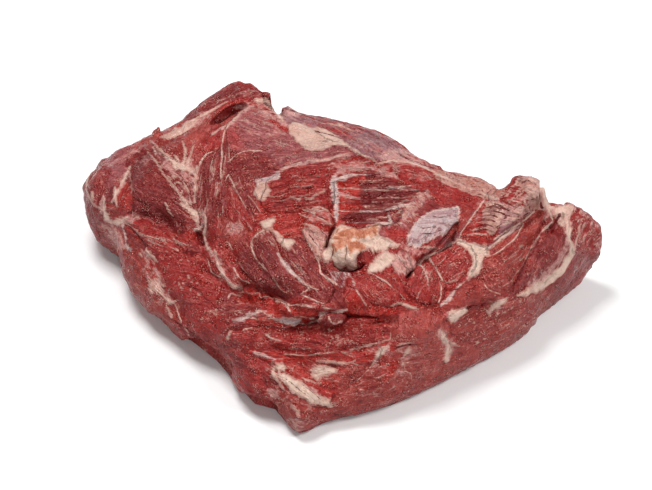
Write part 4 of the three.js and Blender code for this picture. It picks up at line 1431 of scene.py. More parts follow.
    def lay(self, skin: Skin) -> None:
        """Lays all of them on the skin, those with an outline first.

        Args:
            skin: The fine skin.
        """
        areas = ((Kind.FAT, self.fat), (Kind.FILM, self.film), (Kind.VEIL, self.veil), (Kind.WARM, self.warm),
                 (Kind.BRIGHT, self.bright), (Kind.DARK, self.dark))
        lines = ((Kind.FAT, self.fat_lines), (Kind.VEIL, self.veil_lines), (Kind.FILM, self.film_lines),
                 (Kind.BRIGHT, self.bright_lines), (Kind.DARK, self.dark_lines))
        for kind, patches in areas:
            for patch in patches:
                skin.patch(kind, patch)
        for kind, traces in lines:
            for trace in traces:
                skin.trace(kind, trace)


@dataclass
class ThreadsAndFolds:
    """The fine threads of tissue, and the grooves, lips and rolls where muscles meet."""

    seed: int = 19
    threads: tuple[Trace, ...] = (
        Trace("long white thread", "230,124 224,132 222,142 222,160 221,178", 1.6, 0.6),
        Trace("thread beside it", "229,146 229,160", 0.8),
        Trace("branching thread", "228,162 235,156 243,151 262,151", 1, 0.4),
        Trace("short thread", "225,181 228,175 231,180", 1),
        Trace("thread down grain", "229,175 233,184 240,197 246,208", 0.9, 0.4),
        Trace("hooked thread", "212,152 205,155 201,162 198,172 195,185", 1.2, 0.4),
        Trace("line of left end", "99,174 94,181 89,190", 1.4, 0.4),
        Trace("grey line of flank", "144,235 155,239 163,240", 0.9, 0.2),
        Trace("line under streak", "175,305 178,313 181,322", 1.2),
        Trace("low line of flank", "183,325 188,335", 1.2),
        Trace("wavy thread", "228,299 230,294 233,294 236,297 241,296", 1.3, 0.5),
        Trace("thread left of arc", "207,259 211,268 214,274 221,277", 1, 0.4),
        Trace("tick by arc", "229,243 232,250", 1),
        Trace("thread across left cut", "239,262 243,269 249,276 256,285", 0.9, 0.4),
        Trace("thread beside cut", "234,268 240,279 250,283", 1, 0.4),
        Trace("outline of left cut", "264,230 257,234 251,240 252,247 255,256 259,263 268,272", 1.5, 0.6),
        Trace("tail of middle band", "303,282 307,287 318,291", 1.3, 0.5),
        Trace("branch of middle band", "309,289 304,293 301,295", 1.3, 0.4),
        Trace("thread over crease", "303,296 312,300 324,304", 1.2, 0.4),
        Trace("right thread of cut", "306,236 310,247 315,255 319,263 321,274", 1.3, 0.5),
        Trace("foot of that thread", "321,274 328,279 337,285", 2, 0.5),
        Trace("thread of lower cut", "369,273 380,278 390,285 398,293 405,300", 1.2, 0.5),
        Trace("thread of wedge", "356,290 361,297 366,305", 1.4, 0.5),
        Trace("short pale thread", "285,306 292,311", 1.2, 0.4),
        Trace("right edge of network", "470,277 464,282 457,288", 0.8, 0.4),
        Trace("vein to cleft", "459,240 452,243 443,249 433,254 425,257 419,265", (1.6, 1.6, 1.2), 0.5),
        Trace("knuckle thread", "428,257 436,269 443,281", 1.3, 0.4),
        Trace("second knuckle thread", "416,264 424,268 427,276 428,286", 1, 0.4),
        Trace("third knuckle thread", "413,278 415,271 421,264", 1.2, 0.4),
        Trace("fourth knuckle thread", "441,284 441,296 438,303", 1.2),
        Trace("line under fork", "485,257 495,254 502,250 511,243 518,235 523,225", 1.3, 0.5),
        Trace("line over band", "494,240 505,231 516,226 526,219 534,211", 1.6, 0.5),
        Trace("edge of ladder", "485,200 478,210 471,219 464,229 459,238", 1.4, 0.6),
        Trace("slot's edge", "516,182 526,186 533,188", 1.2),
        Trace("second slot's edge", "507,200 514,201 521,203", 1.2),
        Trace("line of right hollow", "552,222 543,230 537,238 530,250 522,266", (1.6, 1.4, 0.8)),
        Trace("fine thread on right", "484,283 488,290 500,294", 0.9),
        Trace("thread over front", "285,354 305,356 316,354 335,352", 1, 0.4),
        Trace("twin line of taper", "377,358 369,369 357,381", (1.2, 0.6, 0.4), 0.2),
        Trace("tag at bright side", "329,319 333,323 338,320", 1),
        Trace("fine thread low on left", "266,335 273,339 281,341", 1),
        Trace("pale line low on left", "243,330 252,328"),
        Trace("hair at back left", "151,137 155,133 158,130", 1, 0.6),
        Trace("first thread by right crack", "403,360 401,366 404,371 411,373 411,379", 0.6, 0.2),
        Trace("second thread by right crack", "404,362 412,363 420,361", 0.5, 0.2),
    )
    cracks: tuple[Trace, ...] = (
        Trace("slit of fan", "418,227 426,228 436,227", 0.6, -0.2),
        Trace("second slit of fan", "420,233 432,234 441,231", 0.6, -0.2),
        Trace("third slit of fan", "430,216 440,218 451,216", 0.6, -0.2),
        Trace("slot of upright fold", "518,183 524,184 531,187", 1.8, -0.6),
        Trace("first slot of ladder", "483,208 492,206 501,208", (1.2, 2.7, 1.2), -0.8),
        Trace("second slot of ladder", "481,213 490,210 499,212", (1.2, 3, 1.2), -0.8),
        Trace("third slot of ladder", "480,217 489,215 497,217", (1.2, 2.7, 1.2), -0.8),
        Trace("fourth slot of ladder", "478,222 487,220 495,222", (1.2, 3, 1.2), -0.8),
        Trace("fifth slot of ladder", "477,227 485,225 493,227", (1.2, 2.7, 1.2), -0.8),
        Trace("sixth slot of ladder", "475,232 484,230 492,232", (1.2, 2.4, 1.2), -0.6),
        Trace("upper slot of ladder", "494,203 502,206 509,211", (1.2, 2.6, 1.2), -0.8),
        Trace("second upper slot of ladder", "500,199 508,203 514,207", (1, 2.2, 1), -0.8),
        Trace("third upper slot of ladder", "498,211 504,214 510,216", (1, 2.2, 1), -0.6),
        Trace("crack on right", "466,309 475,307 485,305", 1.4, -0.8),
        Trace("crack of right hollow", "560,214 556,222 552,231", 2.2, -1),
        Trace("crack low on right", "396,349 406,346 417,345", 1.6, -0.9),
        Trace("crack under front fat", "313,407 320,408 326,407", 1.2, -0.6),
        Trace("line of front fat", "286,379 296,388 308,396", (0.2, 0.5, 0.2), -0.3),
        Trace("second line of front fat", "302,385 312,392 324,402", (0.2, 0.4, 0.2), -0.3),
        Trace("spot on shoulder", "540,206 542,209", 2.6, -0.3),
        Trace("spot under strand", "280,390 283,391", 1.6, -0.5),
        Trace("slit beside middle fat", "332,229 329,238 326,248", 1.2, -0.6),
        Trace("slit of ragged pink", "308,233 314,241 318,250", (0.6, 1.4, 0.6), -0.6),
        Trace("second slit of ragged pink", "321,231 326,239 325,250", (0.6, 1.4, 0.6), -0.6),
        Trace("slit of loose flap", "316,216 323,219 328,224", (0.6, 1.2, 0.6), -0.5),
        Trace("dark line of left foot", "165,316 185,328 205,343", (1, 2, 1), -0.8),
        Trace("second dark line of left foot", "180,329 200,342 219,354", (1, 2, 1), -0.8),
        Trace("dark line of low left", "188,286 198,290 206,300", (0.6, 1.4, 0.6), -0.6),
        Trace("line in middle fat", "346,244 348,252 346,260", 0.9, -0.5),
        Trace("left end of crease", "284,330 292,330 301,329", (0.6, 1.4, 0.6), -0.8),
        Trace("middle of crease", "306,327 313,324 321,322", (0.4, 1, 0.4), -0.8),
        Trace("right of crease", "338,320 352,319 370,319 390,317", (0.6, 1.2, 1.2, 0.4), -0.4),
        Trace("second line in middle fat", "335,248 334,254 331,259", 0.8, -0.5),
    )
    grooves: tuple[Trace, ...] = (
        Trace("pocket under flap", "215,122 219,115 226,109 233,107 241,105", (1.6, 3, 3.4, 2.6, 1), -1.8),
        Trace("cleft right of middle", "459,221 449,233 438,247 426,256 414,266 407,278",
              (1.6, 3, 3.4, 2.4, 3, 1.6), -2),
        Trace("seam of right hollow", "546,214 540,230 531,252 522,270 513,290", (2, 2.4, 2.4, 2.4, 1.6),
              -1.4),
        Trace("crease of left flank", "130,228 138,236 145,246", 2.2, -1.6),
        Trace("hole on left", "198,233 201,240 203,244", 3, -2.4),
        Trace("left side of middle fat", "333,228 330,238 326,249", 1.4, -0.8),
        Trace("under middle fat", "334,270 345,273 356,270 364,263", (1.2, 2.2, 2.2, 1.2), -1),
        Trace("left of window", "330,204 331,212 332,222", (1, 1.6, 1.6), -1.2),
        Trace("under network", "155,225 163,229 172,232 184,233", 2, -1.2),
        Trace("long furrow on left", "140,212 150,218 160,226", 2.2, -1.2),
        Trace("beside long thread", "214,190 213,200 210,215", 1.8, -1),
        Trace("furrow over band", "240,270 252,281 264,291 280,303", (1.6, 2, 2.4, 2), -1.5),
        Trace("furrow under band", "210,322 220,321 228,323", 2, -1.2),
        Trace("fold under right muscle", "400,298 410,301 425,305 436,304", 1.8, -1.2),
        Trace("edge under front fat", "284,387 293,398 305,405 318,408 330,411", 1.4, -0.5),
        Trace("hollow at front", "321,385 328,389 334,389", 4, -1.6),
        Trace("crease of front fold", "341,392 353,383 365,373 374,362", 1, -1),
        Trace("under long band", "330,365 345,368 360,365", 1.6, -1.2),
        Trace("ragged hollow at front", "270,380 274,386 277,384", 2.2, -1.6),
        Trace("behind slab", "350,141 355,146 362,152", 1.4, -0.8),
        Trace("foot of slab", "350,152 362,161 376,168 384,165", 1.4, -1),
        Trace("hole beside middle fat", "360,256 367,257 373,255", 2.4, -1),
    )
    lips: tuple[Trace, ...] = (
        Trace("edge of long crease", "392,322 370,323 345,323 322,325 306,330", (1.6, 2.6, 3, 2.6, 1.6),
              0.5),
        Trace("lower edge of front fat", "332,410 318,407 304,404 291,396 283,385", 2.4, 0.5),
        Trace("edge of loose flap", "334,226 334,218 328,212 318,209", 2.4, 1.2),
        Trace("front of back fat", "303,146 315,151 330,146 349,149", 2, 0.8),
        Trace("edge of left cut", "268,272 259,263 254,252 251,240", 2.4, 0.9),
        Trace("edge of arc", "238,289 230,287 224,279 219,268 216,252", 2.6, 0.9),
        Trace("edge of band", "287,306 272,301 256,296 238,292", 2.6, 1.2),
        Trace("edge of middle cut", "324,304 310,298 296,285 284,268", 2.4, 0.9),
        Trace("edge of right muscle", "405,300 392,288 378,279 366,274", 2.4, 1),
        Trace("edge over right crack", "484,304 470,307 455,312 446,322", 2.6, 1.1),
        Trace("edge of back slab", "377,165 366,159 354,151 348,143", 2.4, 0.9),
    )
    rolls: tuple[Trace, ...] = (
        Trace("grain fold in left", "247,190 262,207 272,224", 5, 0.6),
        Trace("roll over crease", "250,310 280,312 310,309", 6, 0.9),
        Trace("roll of knuckle", "416,268 430,290 437,303", 5, 0.8),
        Trace("second roll of knuckle", "433,258 446,275 450,286", 6, 0.7),
    )
    strands: tuple[Strands, ...] = (
        Strands(Kind.THREAD, "streaks of window", "342,182 370,176 412,188 414,204 380,222 345,222", 2, 18,
                22, 0.6, 0.2, 4),
        Strands(Kind.CRACK, "dark fibres of window", "360,180 384,178 410,190 406,206 380,222 350,222", 2,
                16, 22, 1, -0.3, 4),
        Strands(Kind.FAT, "frayed edge in window", "402,200 420,189 430,192 420,208 406,226 396,226 398,210",
                8, 20, 8, 1.5, 0.3, 12),
        Strands(Kind.THREAD, "ragged pink", "303,230 316,229 326,233 326,246 320,260 312,252 305,241", -62,
                16, 14, 1.1, 0.4, 14),
        Strands(Kind.THREAD, "loose flap", "303,216 314,210 328,214 332,226 318,234 305,228", -20, 8, 14, 1,
                0.4, 12),
        Strands(Kind.FAT, "bristles of fold", "520,180 536,181 546,192 549,206 538,208 528,196", 60, 18, 12,
                1.1, 0.4, 10),
        Strands(Kind.FAT, "cream of fold's front", "510,212 516,204 530,203 537,208 522,216 512,224 504,226",
                38, 16, 9, 2, 0.3, 14),
        Strands(Kind.CRACK, "lines of fold's foot", "496,212 512,206 530,208 528,216 510,225 498,226", 35, 6,
                9, 1.2, -0.3, 12),
        Strands(Kind.FINE, "grain over window", "284,152 340,152 400,162 420,168 400,178 340,172 290,168", 4,
                26, 18, 0.7, 0.2, 6),
        Strands(Kind.FINE, "grain left of window", "284,180 326,170 326,200 300,210 268,208 272,190", 8, 12,
                18, 0.7, 0.2, 7),
        Strands(Kind.CRACK, "furrows left of window", "284,180 326,170 326,200 300,210 268,208 272,190", 8,
                12, 22, 0.8, -0.3, 6),
        Strands(Kind.FINE, "grain of dome", "236,118 256,108 284,134 300,148 250,148 234,140", -16, 16, 16,
                0.7, 0.2, 8),
        Strands(Kind.FINE, "grain of strips", "200,158 228,150 227,212 210,226 200,206", 85, 16, 22, 0.8,
                0.2, 5),
        Strands(Kind.FINE, "grain of speckled left", "230,178 250,180 262,210 272,230 250,236 232,214", -62,
                10, 18, 0.7, 0.2, 7),
        Strands(Kind.FAT, "network", "150,144 180,158 198,168 198,200 206,226 196,228 176,196 160,168", -50,
                16, 8, 1.8, 0.2, 30),
        Strands(Kind.FINE, "left middle", "126,218 150,224 186,240 184,252 160,254 138,236", -27, 16, 16,
                0.7, 0.2, 8),
        Strands(Kind.FAT, "bits on left flank", "130,244 146,248 168,284 190,320 180,330 156,306 136,276",
                -45, 7, 5, 1.4, 0.2, 20),
        # Painted glints: short fat-coloured strokes stand in for wet highlights
        Strands(Kind.FAT, "glints low on left", "160,246 180,250 206,284 208,298 180,292 162,262", -20, 16,
                3, 1.1, 0.15, 50),
        Strands(Kind.FAT, "glints over band", "204,300 222,306 250,312 240,324 214,318", 10, 14, 3, 1.1,
                0.15, 50),
        Strands(Kind.FINE, "cuts", "252,240 280,236 316,262 330,292 312,300 280,288 260,266", -54, 12, 16,
                0.7, 0.2, 8),
        Strands(Kind.THREAD, "over crease", "236,292 270,296 330,306 322,322 270,324 236,318", -4, 20, 18,
                0.9, 0.3),
        Strands(Kind.FINE, "under crease", "236,332 300,334 390,324 388,338 340,352 260,350", -3, 5, 18, 0.6,
                0.15, 8),
        Strands(Kind.CRACK, "furrows under crease", "236,334 300,336 390,326 388,338 340,350 260,350", -3, 4,
                22, 0.7, -0.25, 7),
        Strands(Kind.FINE, "front", "272,356 360,352 360,372 340,388 300,376", -6, 10, 16, 0.8, 0.3, 10),
        Strands(Kind.FINE, "front right", "350,392 384,366 404,384 380,402", 22, 14, 12, 0.7, 0.2, 14),
        Strands(Kind.FINE, "knuckle", "410,272 428,260 442,284 436,302 414,296", 64, 8, 14, 0.7, 0.2),
        Strands(Kind.FINE, "threads right of knuckle", "436,256 458,244 472,258 456,284 444,280", 36, 8, 12,
                0.7, 0.2, 10),
        Strands(Kind.FINE, "under fork", "486,262 530,228 540,236 512,286 490,288", 44, 10, 14, 0.7, 0.2),
        # Painted glints, as short fat-coloured strokes: low on the right and under the crease
        Strands(Kind.FAT, "bits low on right", "456,322 500,308 552,290 548,308 500,344 468,346", 25, 22,
                3.5, 1, 0.15, 40),
        Strands(Kind.FAT, "glints under crease", "320,330 334,330 350,336 352,344 338,346 324,338", -30, 22,
                2.4, 0.8, 0.15, 50),
        Strands(Kind.FAT, "bits of right end", "576,208 590,212 598,238 596,248 580,244", 65, 26, 3, 1.1,
                0.15, 50),
        Strands(Kind.FINE, "slab", "322,120 356,130 396,150 384,158 352,142", -24, 14, 16, 0.8, 0.2, 7),
        Strands(Kind.FINE, "flap", "196,112 240,88 262,96 226,100", 24, 12, 16, 0.8, 0.2, 8),
        Strands(Kind.FINE, "red band", "238,294 262,292 284,304 262,306", -14, 8, 14, 0.9, 0.3, 7),
        Strands(Kind.FAT, "hairs of fold", "505,188 514,180 526,180 524,194 508,202", 42, 12, 12, 1.5, 0.4,
                8),
    )
    far_seams: tuple[Trace, ...] = (
        Trace("fat seam of back", "30,62 42,66 50,64 60,70 72,67 84,66 96,72 108,73 120,69 132,68",
              (0.4, 4, 1, 6, 0.8, 2.4, 7, 1, 3.4, 0.4), 0.5, True),
        Trace("branch of back's seam", "60,70 64,76 72,80", (1.6, 3, 0.6), 0.4, True),
        Trace("low seam of back", "40,34 52,30 64,28 76,32 90,36 104,32 120,30 136,35 150,38",
              (0.4, 2.4, 0.6, 3.4, 0.5, 1.6, 4, 0.6, 0.4), 0.4, True),
        Trace("seam of left end", "150,60 158,55 168,52 180,58", (0.6, 4, 1, 0.6), 0.4, True),
    )

    def lay(self, skin: Skin) -> None:
        """Lays all of them on the skin, the strands last.

        Args:
            skin: The fine skin.
        """
        lines = ((Kind.THREAD, self.threads), (Kind.CRACK, self.cracks), (Kind.GROOVE, self.grooves),
                 (Kind.LIP, self.lips), (Kind.ROLL, self.rolls), (Kind.FAT, self.far_seams))
        for kind, traces in lines:
            for trace in traces:
                skin.trace(kind, trace)
        picker = np.random.default_rng(self.seed)
        for group in self.strands:
            for trace in group.lines(picker):
                skin.trace(group.kind, trace)


class Wire:
    """A value in a material, on which sums can be written as in Python."""

    def __init__(self, graph: "Graph", socket: bpy.types.NodeSocket) -> None:
        """Wraps a socket of a graph."""
        self.graph = graph
        self.socket = socket

    def __add__(self, other: "Wire | float") -> "Wire":
        """Adds."""
        return self.graph.sum("ADD", self, other)

    def __sub__(self, other: "Wire | float") -> "Wire":
        """Takes away."""
        return self.graph.sum("SUBTRACT", self, other)

    def __rsub__(self, other: float) -> "Wire":
        """Takes this away from a number."""
        return self.graph.sum("SUBTRACT", other, self)

    def __mul__(self, other: "Wire | float") -> "Wire":
        """Multiplies."""
        return self.graph.sum("MULTIPLY", self, other)

    def __abs__(self) -> "Wire":
        """Drops the sign."""
        return self.graph.sum("ABSOLUTE", self, 0)

    __radd__ = __add__
    __rmul__ = __mul__

    def ramp(self, low: float, high: float) -> "Wire":
        """Goes smoothly from 0 at one value to 1 at the other.

        Args:
            low: Where it is 0.
            high: Where it is 1.

        Returns:
            The share.
        """
        settings = {"interpolation_type": "SMOOTHSTEP"}
        inputs = {"Value": self, "From Min": low, "From Max": high}
        node = self.graph.node("ShaderNodeMapRange", settings, inputs)
        return Wire(self.graph, node.outputs["Result"])

    def band(self, middle: float, inner: float, outer: float) -> "Wire":
        """Goes smoothly from 1 at an inner distance from a value to 0 at an outer one."""
        return 1 - abs(self - middle).ramp(inner, outer)


class Graph:
    """Makes the nodes of one material."""

    def __init__(self, name: str) -> None:
        """Starts an empty material.

        Args:
            name: The material's name.
        """
        self.material = bpy.data.materials.new(name)
        self.material.use_nodes = True
        self.material.node_tree.nodes.clear()

    def node(self, kind: str, settings: dict | None = None, inputs: dict | None = None) -> bpy.types.Node:
        """Adds a node.

        Args:
            kind: The type of the node.
            settings: Its properties, which are set first.
            inputs: Values or links of its sockets, by name or number.

        Returns:
            The node.
        """
        tree = self.material.node_tree
        node = tree.nodes.new(kind)
        for name, value in (settings or {}).items():
            setattr(node, name, value)
        for name, value in (inputs or {}).items():
            if isinstance(value, Wire):
                tree.links.new(value.socket, node.inputs[name])
            else:
                node.inputs[name].default_value = value
        return node

    def sum(self, operation: str, first: Wire | float, second: Wire | float) -> Wire:
        """Adds a Math node with two inputs."""
        node = self.node("ShaderNodeMath", {"operation": operation}, {0: first, 1: second})
        return Wire(self, node.outputs[0])

    def attribute(self, name: str, output: str = "Vector") -> Wire:
        """Reads an attribute of the mesh."""
        return Wire(self, self.node("ShaderNodeAttribute", {"attribute_name": name}).outputs[output])

    def parts(self, name: str, output: str = "Vector") -> list[Wire]:
        """Reads an attribute of the mesh and splits it in three."""
        node = self.node("ShaderNodeSeparateXYZ", inputs={0: self.attribute(name, output)})
        return [Wire(self, output) for output in node.outputs]

    def scaled(self, vector: Wire, by: tuple[float, float, float]) -> Wire:
        """Multiplies a vector by another."""
        node = self.node("ShaderNodeVectorMath", {"operation": "MULTIPLY"}, {0: vector, 1: by})
        return Wire(self, node.outputs[0])

    def cloud(self, place: Wire, size: tuple[float, float, float], detail: float, roughness: float) -> Wire:
        """Adds noise from about -0.5 to 0.5.

        Args:
            place: Where it is read, in millimetres.
            size: How long, wide and deep its lumps are, in millimetres.
            detail: How many finer layers it has.
            roughness: How strong the finer layers are.

        Returns:
            The noise.
        """
        place = self.scaled(place, tuple(1 / side for side in size))
        inputs = {"Vector": place, "Scale": 1.0, "Detail": detail, "Roughness": roughness}
        return Wire(self, self.node("ShaderNodeTexNoise", None, inputs).outputs["Fac"]) - 0.5

    def mix(self, share: Wire | float, first: Wire | tuple, second: Wire | tuple) -> Wire:
        """Mixes two colours."""
        node = self.node("ShaderNodeMix", {"data_type": "RGBA"}, {0: share, 6: first, 7: second})
        return Wire(self, node.outputs[2])

    def shade(self, inputs: dict) -> bpy.types.Node:
        """Adds the material's shader and its output.

        Args:
            inputs: What goes into the shader, by name.

        Returns:
            The shader.
        """
        shader = self.node("ShaderNodeBsdfPrincipled", None, inputs)
        self.node("ShaderNodeOutputMaterial", None, {"Surface": Wire(self, shader.outputs[0])})
        return shader


class Marks:
    """What shows where on the joint, read from the skin's attributes and made uneven by noise."""

    def __init__(self, graph: Graph, layers: tuple[str, ...]) -> None:
        """Reads the attributes and makes the noise.

        Args:
            graph: The material's graph.
            layers: The attributes that hold the grain of the muscles.
        """
        place = Wire(graph, graph.node("ShaderNodeTexCoord").outputs["Object"])
        place = graph.scaled(place, (1 / MM,) * 3)
        self.blotch = graph.cloud(place, (12,) * 3, 3, 0.6)
        self.wet = graph.cloud(place, (8,) * 3, 3, 0.6)
        self.lumps = graph.cloud(place, (4,) * 3, 2, 0.5)
        self.dots = graph.cloud(place, (1.3,) * 3, 1, 0.5)
        self.grit = graph.cloud(place, (0.8,) * 3, 0, 0.5)
        self.streak, self.bundle = self.grain(graph, layers)
        self.fat_depth, film_depth, self.warm_depth = graph.parts("tissue")
        side, half, self.dark = graph.parts("line")
        # groove: the painted shade of grooves and flaps' edges
        self.groove, self.flecks, self.coarse = graph.parts("feel")
        depth, self.strength, self.pale = graph.parts("fold")

        # Depth inside a muscle's outline, made uneven: for its relief, its painted edge highlight and its
        # crease's painted shade
        self.outline_depth = depth + self.lumps * 1.6 + self.streak * 2.0
        self.gritty = (self.lumps * 0.4 + self.blotch * 0.6).ramp(-0.06, 0.06) * 0.85 + 0.15
        # Thin lines between bundles, sunk in the bump and darkened as painted shade
        self.gap = self.bundle.band(-0.01, 0.003, 0.02)
        self.sinew = self.bundle.band(0.07, 0.003, 0.015) * self.blotch.ramp(0.0, 0.12)
        self.sheet = film_depth + self.lumps * 2.0 + self.streak * 3.0 + self.bundle * 3.0
        self.veiled = self.sheet.ramp(-0.9, 0.9)
        self.ragged = self.fat_depth + 0.3 + self.lumps * 2.0 + self.streak * 3.4 + self.dots * 0.8
        self.fatty = self.ragged.ramp(-0.35, 0.35)
        self.seam = self.lumps.band(-0.03, 0.004, 0.03) * self.blotch.ramp(-0.1, 0.05)
        self.edge = half - abs(side) + self.lumps * 1.2 + self.streak * 1.2 + self.dots * 0.6
        self.lined = self.edge.ramp(-0.2, 0.3) * (1 - self.fatty * (1 - self.dark.ramp(0.7, 0.95)) * 0.85)

    def grain(self, graph: Graph, layers: tuple[str, ...]) -> tuple[Wire, Wire]:
        """Makes the fine streaks and the bundles of all muscles.

        Args:
            graph: The material's graph.
            layers: The attributes that hold the grain.

        Returns:
            The streaks and the bundles.
        """
        shares = [*graph.parts("shares", "Color"), graph.attribute("shares", "Alpha")]
        streak, bundle = None, None
        for layer, share in zip(layers, shares):
            along = graph.attribute(layer)
            fine = graph.cloud(along, (8, 1.1, 1.1), 2, 0.6) * share
            wide = graph.cloud(along, (22, 4.2, 4.2), 3, 0.55) * share
            streak = fine if streak is None else streak + fine
            bundle = wide if bundle is None else bundle + wide
        return streak, bundle


@dataclass(frozen=True)
class RawBeef:
    """The finish of the joint: moist lean meat with grain, cream fat and silvery film, with painted highlights,
    glints, sheen and shade.
    """

    # Pale pink of the grain's pale streaks, also painted sheen in wet patches and the painted highlight along
    # muscles' edges
    pale_fibre_and_sheen: tuple[float, ...] = paint(183, 94, 86)
    # Dark red of the grain's dark streaks, and painted shade in gaps between bundles and in muscles' creases
    shade: tuple[float, ...] = paint(90, 5, 8)
    fresh: tuple[float, ...] = paint(164, 32, 24)
    # Dark red of cracks and slots, whose dark is partly painted shade, and the painted shade of grooves and
    # flaps' edges
    crack: tuple[float, ...] = paint(96, 6, 9)
    # Pale of sinews and fine fat, also used for painted glints
    fleck_and_glint: tuple[float, ...] = paint(222, 166, 152)
    fat: tuple[float, ...] = paint(208, 179, 163)
    fat_pink: tuple[float, ...] = paint(198, 144, 132)
    peach: tuple[float, ...] = paint(196, 128, 100)
    fat_stain: tuple[float, ...] = paint(164, 88, 56)
    veil: tuple[float, ...] = paint(202, 150, 142)
    film: tuple[float, ...] = paint(190, 170, 169)
    film_deep: tuple[float, ...] = paint(158, 120, 121)
    thread: tuple[float, ...] = paint(214, 174, 160)
    halo: tuple[float, ...] = paint(176, 92, 84)
    gloss: tuple[float, ...] = (1.0, 0.8, 0.77, 1.0)
    glow_reach: tuple[float, float, float] = (1.0, 0.35, 0.25)
    relief: float = 1.0

    def build(self, layers: tuple[str, ...]) -> bpy.types.Material:
        """Makes the material.

        Args:
            layers: The attributes that hold the grain of the muscles.

        Returns:
            The material.
        """
        graph = Graph("raw_beef_finish")
        on = Marks(graph, layers)
        skin = self.lean(graph, on)
        skin = graph.mix(on.veiled * (on.bundle.ramp(-0.2, 0.1) * 0.25 + 0.72), skin, self.silver(graph, on))
        skin = graph.mix(on.fatty * (on.fat_depth.ramp(-0.4, 3.0) * 0.45 + 0.53), skin, self.cream(graph, on))
        skin = graph.mix(on.edge.ramp(-1.3, 0.2) * (1 - on.dark) * 0.4, skin, self.halo)
        # Pale threads, and dark cracks whose dark is partly painted shade in the slit
        line = graph.mix(on.dark, self.thread, self.crack)
        skin = graph.mix(on.lined * (on.wet.ramp(-0.12, 0.05) * 0.5 + 0.45), skin, line)
        # Painted shade in grooves and beside flaps' edges
        skin = graph.mix(on.groove.ramp(0.1, 0.9) * 0.85, skin, self.crack)
        height = {"Strength": self.relief, "Distance": MM, "Height": self.raised(on)}
        inputs = {
            "Base Color": skin,
            "Roughness": 0.4 - on.wet.ramp(-0.04, 0.1) * 0.28 + on.fatty * 0.08,
            "IOR": 1.42,
            "Specular IOR Level": 0.5,
            "Specular Tint": self.gloss,
            "Subsurface Weight": 0.1,
            "Subsurface Scale": 1.2 * MM,
            "Subsurface Radius": self.glow_reach,
            "Normal": Wire(graph, graph.node("ShaderNodeBump", inputs=height).outputs[0]),
        }
        graph.shade(inputs)
        return graph.material

    def lean(self, graph: Graph, on: Marks) -> Wire:
        """Colours the lean meat, with its flecks, its pale veils, painted highlights and glints, and painted
        shade in creases.

        Args:
            graph: The material's graph.
            on: What shows where.

        Returns:
            The colour.
        """
        lean = graph.attribute("lean", "Color")
        near = on.outline_depth.band(0, 0.3, 3.2) * on.strength.ramp(0.1, 0.8)
        lean = graph.mix((near * 0.5 + on.blotch * 2.4 + on.lumps).ramp(0.1, 0.9) * 0.5, lean, self.fresh)
        # Pale and dark streaks of the grain; wet patches are made paler too, a painted sheen
        light = on.streak * 2.8 + on.bundle * 2.0 + on.wet * 2.0 + on.blotch * 1.8
        light = light + (on.dots * 2.8 + on.grit * 2.4) * on.gritty
        lean = graph.mix(light.ramp(0.05, 1.3) * (on.pale.ramp(-0.9, 0.0) * 0.5 + 0.15), lean, self.pale_fibre_and_sheen)
        lean = graph.mix((0 - light).ramp(0.0, 1.1) * 0.8, lean, self.shade)
        # Painted shade in the gaps between bundles
        lean = graph.mix(on.gap * (on.coarse * 0.35), lean, self.shade)
        lean = graph.mix(on.sinew * 0.5, lean, self.fleck_and_glint)
        fine = (on.dots + on.flecks * 0.06 + on.lumps * 0.5).ramp(0.18, 0.25) * on.flecks
        lean = graph.mix(fine * 0.8, lean, self.fleck_and_glint)
        # Painted glints: tiny pale specks in wet patches
        painted_glint = (on.dots * 0.6 + on.grit * 0.4).ramp(0.1, 0.16) * on.wet.ramp(0.0, 0.1)
        lean = graph.mix(painted_glint * 0.75, lean, self.fleck_and_glint)
        # Painted highlight: a pale line just inside each muscle's outline
        rim = on.outline_depth.band(0.9, 0.1, 0.8) * on.strength.ramp(0.1, 0.9) * on.wet.ramp(-0.05, 0.1)
        lean = graph.mix(rim * 0.7, lean, self.pale_fibre_and_sheen)
        # Painted shade in the crease along each muscle's outline
        crease = on.outline_depth.band(-0.2, 0.1, 0.9) * on.strength.ramp(0.2, 1.1) * on.blotch.ramp(-0.15, 0.1)
        lean = graph.mix(crease * 0.9, lean, self.shade)
        frost = on.pale * 1.5 - 0.75 + on.streak * 1.4 + on.bundle * 1.6 + on.lumps * 2 + on.wet
        return graph.mix(frost.ramp(-0.35, 0.9) * on.pale.ramp(0.02, 0.3) * 0.85, lean, self.veil)

    def silver(self, graph: Graph, on: Marks) -> Wire:
        """Colours the silvery film, with a pale rim along its edge that is partly a painted highlight.

        Args:
            graph: The material's graph.
            on: What shows where.

        Returns:
            The colour.
        """
        light = (on.streak * 0.7 + on.bundle * 0.5 + on.dots * 0.3).ramp(-0.18, 0.1)
        film = graph.mix(light, self.film_deep, self.film)
        # Pale rim inside the film's edge, partly a painted highlight
        return graph.mix(on.sheet.band(0.7, 0.2, 1.0) * 0.7, film, self.thread)

    def cream(self, graph: Graph, on: Marks) -> Wire:
        """Colours the fat, pink at its edges and stained here and there.

        Args:
            graph: The material's graph.
            on: What shows where.

        Returns:
            The colour.
        """
        pink = (on.lumps * 0.8 + on.streak * 0.4 + on.blotch).ramp(-0.1, 0.4)
        cream = graph.mix(pink * 0.6, self.fat, self.fat_pink)
        warm = on.warm_depth + on.lumps * 9 + on.blotch * 9
        cream = graph.mix(warm.ramp(-1.6, 1.4) * 0.85, cream, self.peach)
        cream = graph.mix((warm + on.streak * 10).ramp(0.6, 3.4) * 0.8, cream, self.fat_stain)
        cream = graph.mix((1 - on.ragged.ramp(-0.2, 1.6)) * 0.7, cream, self.fat_pink)
        return graph.mix(on.seam * 0.2, cream, self.fat_stain)

